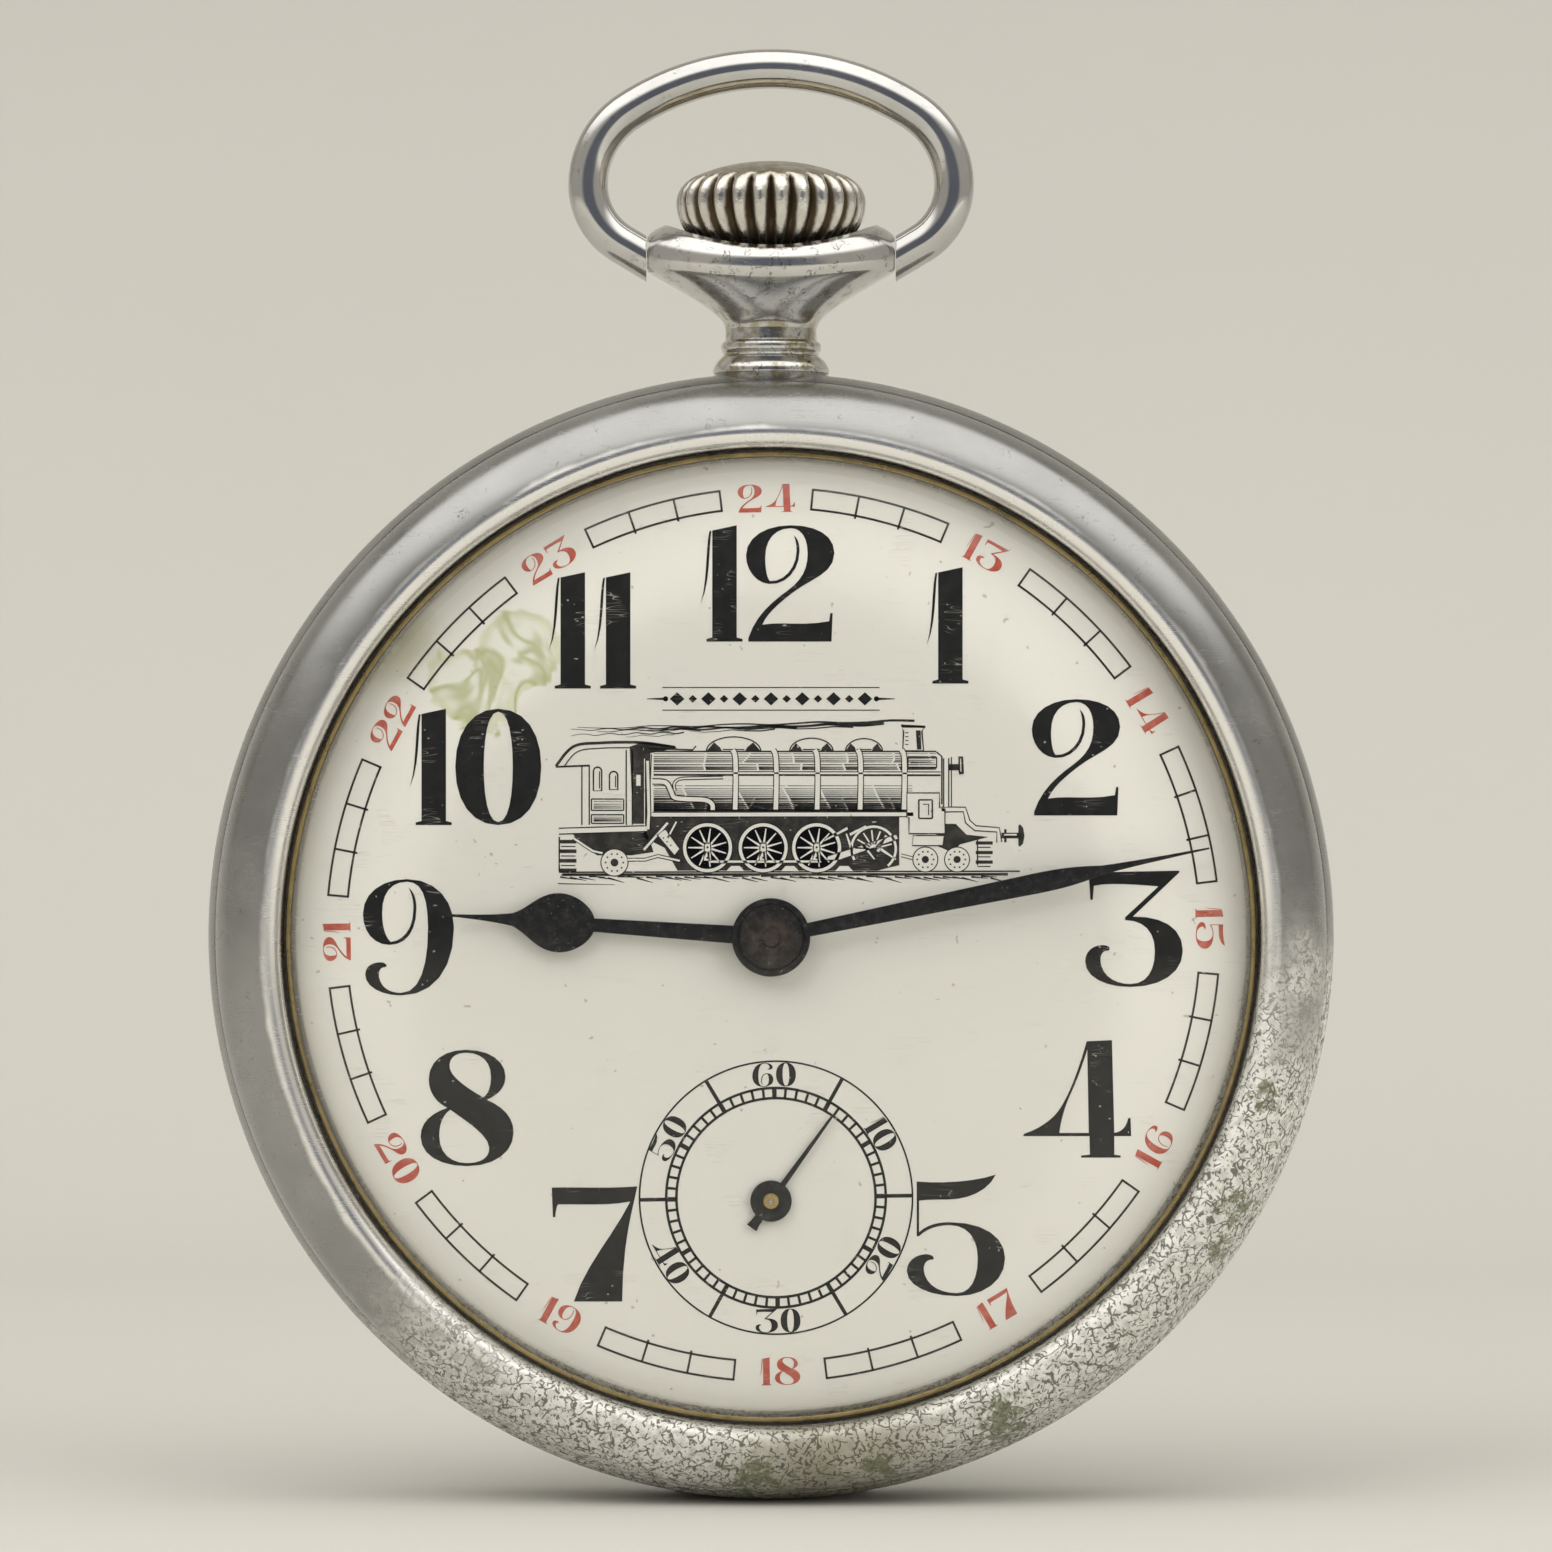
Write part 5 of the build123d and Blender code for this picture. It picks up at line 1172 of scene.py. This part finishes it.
def engine():
    """A steam engine from its right side, laid out as the dial's own engraving is, without lettering."""
    art = Engraving()
    ink, light, detail = art.ground, art.light, art.detail
    # rails and the shadow on the ballast
    ink.line([(-9.75, 2.97), (11.45, 3.02)], 0.07)
    ink.line([(-9.6, 2.86), (10.9, 2.88)], 0.12)
    for n in range(46):
        x = -9.7 + 0.44 * n
        drop = 0.16 + 0.10 * math.sin(1.7 * n) + 0.06 * math.sin(4.1 * n)
        ink.line([(x, 2.80 - 0.3 * drop), (x + 0.75, 2.80 - drop)], 0.085, end_width=0.02)
    ink.line([(-9.8, 2.45), (-7.2, 2.40)], 0.05, end_width=0.02)
    # dark space between and behind the wheels
    ink.fill([(-5.7, 5.55), (5.9, 5.55), (5.9, 3.3), (4.9, 3.05), (-4.3, 3.05), (-4.9, 4.1), (-5.9, 4.6)])
    ink.fill([(-9.2, 4.80), (-5.7, 4.80), (-5.4, 3.9), (-6.4, 3.75), (-8.0, 3.75), (-8.6, 4.2)])
    ink.fill([(7.6, 5.2), (8.5, 5.2), (9.0, 4.7), (10.0, 4.6), (8.7, 4.25), (8.3, 3.9), (7.6, 4.2)])
    # cab
    ink.line(smooth_rows([(-9.9, 7.85), (-9.1, 8.75), (-7.9, 8.92), (-6.0, 8.94), (-4.4, 8.72)], 6), 0.13)
    ink.line(smooth_rows([(-9.55, 7.80), (-8.9, 8.52), (-7.8, 8.68), (-6.5, 8.70)], 6), 0.055)
    ink.line([(-9.9, 7.82), (-8.35, 7.88)], 0.09)
    ink.fill([(-6.5, 8.75), (-5.9, 8.95), (-4.6, 8.80), (-4.3, 8.68), (-5.55, 8.45), (-5.65, 5.2),
              (-6.35, 5.2)])
    ink.line([(-5.6, 8.66), (-3.6, 8.60), (-3.45, 8.78)], 0.07)
    for x in (-8.70, -8.36, -6.66, -6.38):
        ink.line([(x, 7.9 if x < -8 else 8.6), (x, 5.15)], 0.06)
    for x, low, high in ((-7.98, 6.72, 7.62), (-7.24, 6.78, 7.42)):
        turns = [math.pi * n / 8 for n in range(9)]
        top = [(x + 0.19 * math.cos(t), high + 0.19 * math.sin(t)) for t in turns]
        ink.line([(x + 0.19, low), *top, (x - 0.19, low)], 0.07, closed=True)
        ink.line([(x + 0.09, low + 0.1), (x + 0.09, high)], 0.05)
    for low, high in ((5.82, 6.34), (5.22, 5.62)):
        ink.box(-8.26, low, -6.78, high, 0.06)
        art.shade(-8.16, -6.86, high - 0.11, low + 0.11, 4, 0.05, low)
    light.box(-6.20, 6.95, -6.0, 7.45)
    light.line([(-5.82, 8.2), (-5.82, 5.1)], 0.035)
    # boiler: lit along the top, darkening downwards
    ink.line([(-5.45, 8.53), (7.6, 8.53)], 0.07)
    art.shade(-5.4, 7.6, 8.43, 8.05, 5, 0.045, 0.4)
    art.shade(-5.4, 7.6, 7.92, 7.72, 3, 0.09, 1.2)
    ink.line([(-5.4, 7.52), (7.8, 7.50)], 0.22)
    light.line([(-5.4, 7.54), (7.8, 7.52)], 0.08)
    art.shade(-5.4, 6.5, 6.95, 5.95, 13, 0.055, 2.3)
    art.shade(-5.4, 6.4, 6.35, 5.82, 7, 0.075, 3.7)
    ink.line([(-5.4, 5.83), (6.3, 5.83)], 0.14)
    for x in (-1.65, 0.22, 2.12, 4.10, 6.12):
        art.rail(smooth_rows([(x - 0.12, 8.60), (x, 8.3), (x + 0.03, 7.2), (x, 5.86)], 4), 0.21)
    ink.line([(-5.5, 8.4), (-5.62, 5.8)], 0.05)
    pipe = [(-5.45, 7.15), (-4.85, 7.10), (-4.62, 6.75), (-4.45, 6.42), (-3.9, 6.34), (-3.05, 6.30),
            (-2.72, 6.12), (-2.68, 5.84)]
    art.rail(smooth_rows(pipe, 5), 0.19, 0.06)
    branch = [(-4.42, 6.72), (-4.45, 7.05), (-4.2, 7.26), (-3.6, 7.30), (-2.2, 7.33)]
    art.rail(smooth_rows(branch, 5), 0.07, 0.05)
    # domes, chimney and smoke
    for x, half, high in ((-1.72, 1.25, 0.66), (1.86, 1.0, 0.60), (4.28, 0.85, 0.58)):
        turns = [math.pi * n / 20 for n in range(21)]
        curve = [(x + half * math.cos(t), 8.54 + high * math.sin(t)) for t in turns]
        ink.line(curve, 0.06)
        for side in (-1, 1):
            ink.fill([(x + side * half, 8.54), (x + side * half * 0.72, 8.54 + high * 0.62),
                      (x + side * half * 0.50, 8.72), (x + side * half * 0.42, 8.54)][::side])
        ink.line([(x - half * 0.4, 8.62), (x + half * 0.4, 8.62)], 0.05)
    chimney = [(6.02, 9.66), (6.10, 9.45), (6.06, 8.56), (7.02, 8.56), (6.94, 9.45), (7.06, 9.66)]
    ink.line(chimney, 0.075, closed=True)
    ink.line([(5.98, 9.72), (7.10, 9.66)], 0.11)
    ink.fill([(6.66, 9.5), (6.88, 9.5), (6.92, 8.62), (6.72, 8.62)])
    for n in range(4):
        ink.line([(6.18, 8.85 + 0.18 * n), (6.32, 8.85 + 0.18 * n)], 0.045)
    streaks = ((6.6, 9.94, 15.5, 0.11), (5.2, 9.80, 12.0, 0.15), (1.2, 9.66, 9.2, 0.13),
               (-2.6, 9.66, 6.6, 0.10), (-4.0, 9.40, 5.2, 0.06))
    for n, (x, z, reach, width) in enumerate(streaks):
        steps = 14
        trail = [(x - reach * k / steps, z - 0.022 * reach * k / steps + 0.045 * math.sin(1.9 * k + 2.3 * n))
                 for k in range(steps + 1)]
        ink.line(smooth_rows(trail, 3), width, end_width=0.02)
        ink.line([(px + 0.3, pz - 0.11) for px, pz in trail[2:9]], width * 0.5, end_width=0.015)
    # smokebox, its front and the lamp
    ink.box(6.30, 7.78, 7.62, 8.26, 0.055)
    art.shade(6.42, 7.52, 8.12, 7.92, 3, 0.05, 0.9)
    art.rail([(8.06, 8.22), (8.06, 5.98)], 0.17, 0.06)
    ink.line([(7.62, 8.5), (7.86, 8.30), (7.86, 6.1)], 0.07)
    ink.line([(8.30, 8.28), (8.30, 6.0)], 0.05)
    ink.fill([(8.16, 7.95), (8.62, 7.95), (8.62, 8.30), (8.84, 8.30), (8.88, 7.5), (8.66, 7.46), (8.62, 7.66),
              (8.16, 7.66)])
    light.line([(8.72, 8.2), (8.74, 7.6)], 0.04)
    # running board, stepping down at both ends
    art.rail([(-5.45, 5.62), (6.55, 5.64)], 0.17, 0.05)
    art.rail([(-5.68, 8.1), (-5.62, 5.7), (-5.66, 4.95)], 0.13, 0.05)
    art.rail([(-9.76, 4.86), (-5.7, 4.98)], 0.21, 0.06)
    art.rail([(7.85, 5.86), (8.9, 5.86), (9.05, 5.3), (9.4, 5.0), (10.45, 4.92), (10.5, 4.35)], 0.17, 0.06)
    # cylinder and steam chest
    art.patch([(6.25, 6.62), (7.75, 6.62), (7.75, 5.95), (8.0, 5.9), (8.0, 4.75), (6.35, 4.75), (6.35, 5.5),
               (6.25, 5.5)], 0.06)
    detail.box(6.80, 5.45, 7.42, 6.30, 0.07)
    detail.line([(7.0, 6.1), (7.25, 6.1), (7.25, 5.6)], 0.05)
    art.patch([(6.55, 4.66), (7.95, 4.66), (7.9, 4.2), (6.5, 4.2)], 0.05)
    # wheels and motion
    light.circle(4.72, 4.05, 1.02, 0.11, start=-50, end=210, steps=34)
    for n in range(7):
        way = math.radians(15 + 27 * n)
        light.line([(4.72 + r * math.cos(way), 4.05 + r * math.sin(way)) for r in (0.2, 0.86)], 0.07)
    for x in (-2.92, -0.36, 2.10):
        art.driver(x, 4.10, 1.13)
    light.line([(-2.8, 3.46), (2.3, 3.47)], 0.10)
    detail.line([(-2.7, 3.39), (2.2, 3.40)], 0.03)
    art.patch([(2.55, 3.52), (2.62, 3.72), (5.75, 4.72), (5.85, 4.50), (3.2, 3.55)], 0.045)
    art.patch([(2.4, 4.35), (2.5, 4.52), (3.5, 5.08), (3.55, 4.92)], 0.04)
    for x, z, turn in ((4.0, 4.9, 0.5), (4.5, 3.9, -0.9), (5.1, 4.3, 1.1), (3.6, 4.35, 1.9), (5.4, 3.8, -0.6)):
        dx, dz = 0.42 * math.cos(turn), 0.42 * math.sin(turn)
        light.line([(x - dx, z - dz), (x + dx, z + dz)], 0.13, end_width=0.06)
    for x in (-1.64, 0.87, 3.36):
        light.fill([(x - 0.42, 3.02), (x + 0.42, 3.02), (x + 0.2, 3.26), (x - 0.2, 3.26)])
    art.small_wheel(-7.20, 3.42, 0.60)
    art.small_wheel(7.10, 3.56, 0.55)
    art.small_wheel(8.56, 3.56, 0.55)
    art.rail([(6.0, 3.75), (6.5, 3.62)], 0.09, 0.04)
    # brake gear and struts behind the cab
    art.rail([(-9.1, 4.55), (-8.2, 3.95), (-7.75, 3.85)], 0.09, 0.04)
    art.rail([(-5.85, 4.0), (-4.75, 5.25)], 0.11, 0.045)
    art.patch([(-5.25, 4.7), (-4.85, 4.95), (-4.2, 4.05), (-4.45, 3.75)], 0.05)
    art.rail([(-4.35, 5.3), (-4.75, 4.55)], 0.08, 0.04)
    art.rail([(-6.6, 3.55), (-5.8, 3.55), (-5.2, 3.72), (-4.2, 3.5)], 0.09, 0.045)
    for k in range(3):
        detail.dot(-4.95 + 0.17 * k, 4.55 - 0.17 * k, 0.035)
    # steps at both ends, coupling and buffer
    for n in range(4):
        drop = 0.44 * n
        ink.line([(-9.72, 4.38 - drop), (-8.95, 4.38 - drop)], 0.17)
        ink.line([(-9.66, 4.16 - drop), (-9.0, 4.16 - drop)], 0.05)
        if n < 3:
            ink.line([(9.42, 4.32 - drop), (10.2, 4.32 - drop)], 0.15)
            ink.line([(9.5, 4.12 - drop), (10.1, 4.12 - drop)], 0.05)
    ink.line([(-9.74, 4.6), (-9.74, 3.0)], 0.07)
    ink.line([(9.5, 4.5), (9.5, 3.3)], 0.06)
    ink.line([(10.6, 4.66), (11.45, 4.66)], 0.26)
    light.line([(10.72, 4.70), (11.3, 4.70)], 0.07)
    ink.fill([(11.38, 4.2), (11.46, 4.15), (11.6, 4.3), (11.66, 4.66), (11.6, 5.02), (11.46, 5.18),
              (11.38, 5.12)])
    ink.line([(10.78, 4.95), (10.78, 4.35)], 0.11)
    art.pieces()


dial()
dial_printing()
seconds_printing()
ornament()
engine()


# ---------------------------------------------------------------- hands
HOUR_TURN, MINUTE_TURN, SECONDS_TURN = 273.9, 78.5, 35.8


def blade(name, path, node, turn, body, bevel, at=(0.0, 0.0), replaces=True):
    """A hand cut from sheet: the right half of its outline pointing to 12, mirrored and turned."""
    half = loops(path)[0]
    mirrored = [[(-k[0][0], k[0][1]), (-k[2][0], k[2][1]), (-k[1][0], k[1][1])] for k in reversed(half)]
    level = {"hour_hand": (9.5, 9.66), "minute_hand": (10.0, 10.16), "seconds_hand": (9.1, 9.22)}[node]
    verts, faces = flat_curve(name, [half + mirrored], level[1] - level[0], bevel, 10)
    way = math.radians(-turn)
    middle = STEM_H - sum(level) / 2
    cos, sin = math.cos(way), math.sin(way)
    placed = [(at[0] + x * cos - y * sin, middle - h, at[1] + x * sin + y * cos) for x, y, h in verts]
    return piece(name, placed, faces, MATERIALS["black_hand"], body, [node] if replaces else (), "black_hand")


def boss(name, profile, body, mat="black_hand", at=(0.0, 0.0)):
    verts, faces = turned(rounded(profile), steps=96)
    placed = [(x + at[0], y, z + at[1]) for x, y, z in verts]
    piece(name, placed, faces, MATERIALS[mat], body, slot=mat)


def hands():
    blade("hour_blade",
          "M .42 1.1 L .31 8.15 C .75 8.25 1.36 8.95 1.36 9.75 C 1.36 10.75 .58 11.15 .30 11.9 "
          "C .20 12.4 .10 13.4 .05 14.9",
          "hour_hand", HOUR_TURN, "hour", 0.035)
    blade("minute_blade",
          "M .31 1.2 L .47 12.4 C .48 14.0 .34 14.7 .21 15.5 C .13 16.6 .08 18.5 .04 20.5",
          "minute_hand", MINUTE_TURN, "centre", 0.035)
    blade("seconds_blade", "M .14 .4 L .055 4.9", "seconds_hand", SECONDS_TURN, "fourth", 0.02,
          (0.0, SECONDS_Z))
    tail = dial_point(1.0, SECONDS_TURN + 180)
    blade("seconds_tail", "M .20 -.45 L .22 .25 L .27 .52", "seconds_hand", SECONDS_TURN + 180, "fourth", 0.02,
          (tail[0], SECONDS_Z + tail[1]), replaces=False)
    boss("hour_boss", [(0.96, 9.46, 0.03), (1.55, 9.46, 0.05), (1.55, 9.70, 0.06), (0.96, 9.70, 0.03)], "hour")
    boss("minute_boss", [
        (0.43, 9.95), (1.80, 9.95, 0.06), (1.80, 10.20, 0.10), (1.56, 10.21, 0.03), (1.50, 10.16, 0.03),
        (1.44, 10.28, 0.06), (0.62, 10.30, 0.05), (0.52, 10.24), (0.43, 10.24, 0.02),
    ], "centre")
    boss("centre_pin", [(0, 10.22), (0.43, 10.22), (0.43, 10.34, 0.06), (0, 10.36)], "centre")
    boss("seconds_boss", [
        (0.36, 9.08), (0.95, 9.08, 0.04), (0.95, 9.26, 0.07), (0.60, 9.28, 0.05), (0.36, 9.24),
    ], "fourth", at=(0.0, SECONDS_Z))
    boss("seconds_pipe", [
        (0.09, 8.97), (0.36, 8.97), (0.36, 9.36, 0.06), (0.16, 9.36, 0.05), (0.10, 9.30),
    ], "fourth", "gilt_brass", (0.0, SECONDS_Z))


hands()


# ---------------------------------------------------------------- studio
def stage_sheet():
    """Floor that sweeps up into the backdrop, seen through from behind."""
    reach, sweep_y, sweep_r, high = 900.0, 150.0, 160.0, 900.0
    floor = FLOOR_Z / MM
    path = [(-reach, floor), (sweep_y, floor)]
    path += [(sweep_y + sweep_r * math.sin(t), floor + sweep_r * (1 - math.cos(t)))
             for t in (math.radians(90 * n / 24) for n in range(1, 25))]
    path.append((sweep_y + sweep_r, high))
    verts = [(x, y, z) for y, z in path for x in (-reach, reach)]
    faces = [(2 * n, 2 * n + 1, 2 * n + 3, 2 * n + 2) for n in range(len(path) - 1)]
    mesh = bpy.data.meshes.new("backdrop")
    mesh.from_pydata([tuple(c * MM for c in v) for v in verts], [], faces)
    mesh.shade_smooth()
    mat = paper("backdrop_paper", (0.435, 0.425, 0.39), 0.02)
    tree = mat.node_tree
    surface = tree.nodes["Material Output"].inputs["Surface"]
    behind = add(tree, "NewGeometry").outputs["Backfacing"]
    clear = add(tree, "BsdfTransparent").outputs[0]
    seen = add(tree, "MixShader", {0: behind, 1: surface.links[0].from_socket, 2: clear})
    tree.links.new(seen.outputs[0], surface)
    mesh.materials.append(mat)
    sheet = bpy.data.objects.new("backdrop", mesh)
    bpy.context.scene.collection.objects.link(sheet)


def softbox(name, at, size, watts, tint=(1.0, 0.98, 0.95)):
    data = bpy.data.lights.new(name, "AREA")
    data.shape = "RECTANGLE"
    data.size, data.size_y = size[0] * MM, size[1] * MM
    data.energy = watts
    data.color = tint
    lamp = bpy.data.objects.new(name, data)
    lamp.location = Vector(at) * MM
    lamp.rotation_euler = (Vector((0, 0, 5)) * MM - lamp.location).to_track_quat("-Z", "Y").to_euler()
    lamp.visible_glossy = False
    bpy.context.scene.collection.objects.link(lamp)


def studio():
    """A light tent, bright above and dark in front, and three panels that reflections don't show."""
    stage_sheet()
    softbox("left_softbox", (-330, -350, 330), (440, 400), 1.55)
    softbox("right_softbox", (385, -345, 120), (400, 540), 1.90)
    softbox("top_softbox", (0, -160, 620), (900, 520), 1.0)
    world = bpy.data.worlds.new("studio_world")
    world.use_nodes = True
    tree = world.node_tree
    way = add(tree, "TexCoord").outputs["Generated"]
    up = add(tree, "SeparateXYZ", {0: way}).outputs[2]
    front = add(tree, "VectorMath", {0: way, 1: (0.0, -1.0, 0.0)}, operation="DOT_PRODUCT").outputs["Value"]
    tone = blended(tree, span(tree, up, 0.42, 0.70), (0.47, 0.45, 0.41, 1), (1.75, 1.73, 1.66, 1))
    tone = blended(tree, span(tree, front, 0.76, 0.93), tone, (0.15, 0.16, 0.19, 1))
    tree.links.new(tone, tree.nodes["Background"].inputs["Color"])
    bpy.context.scene.world = world
    bpy.context.scene.view_settings.view_transform = "Standard"


def camera():
    """Square to the dial, level with the upper half of the watch."""
    distance, across, middle = 330.0, 71.4, (0.23, 7.4)
    data = bpy.data.cameras.new("camera")
    data.sensor_width = 36.0
    data.lens = data.sensor_width * distance / across
    data.clip_start, data.clip_end = 0.01, 10.0
    eye = bpy.data.objects.new("camera", data)
    eye.location = Vector((middle[0], STEM_H - DIAL_H - distance, middle[1])) * MM
    eye.rotation_euler = (math.radians(90), 0, 0)
    bpy.context.scene.collection.objects.link(eye)
    bpy.context.scene.camera = eye


studio()
camera()
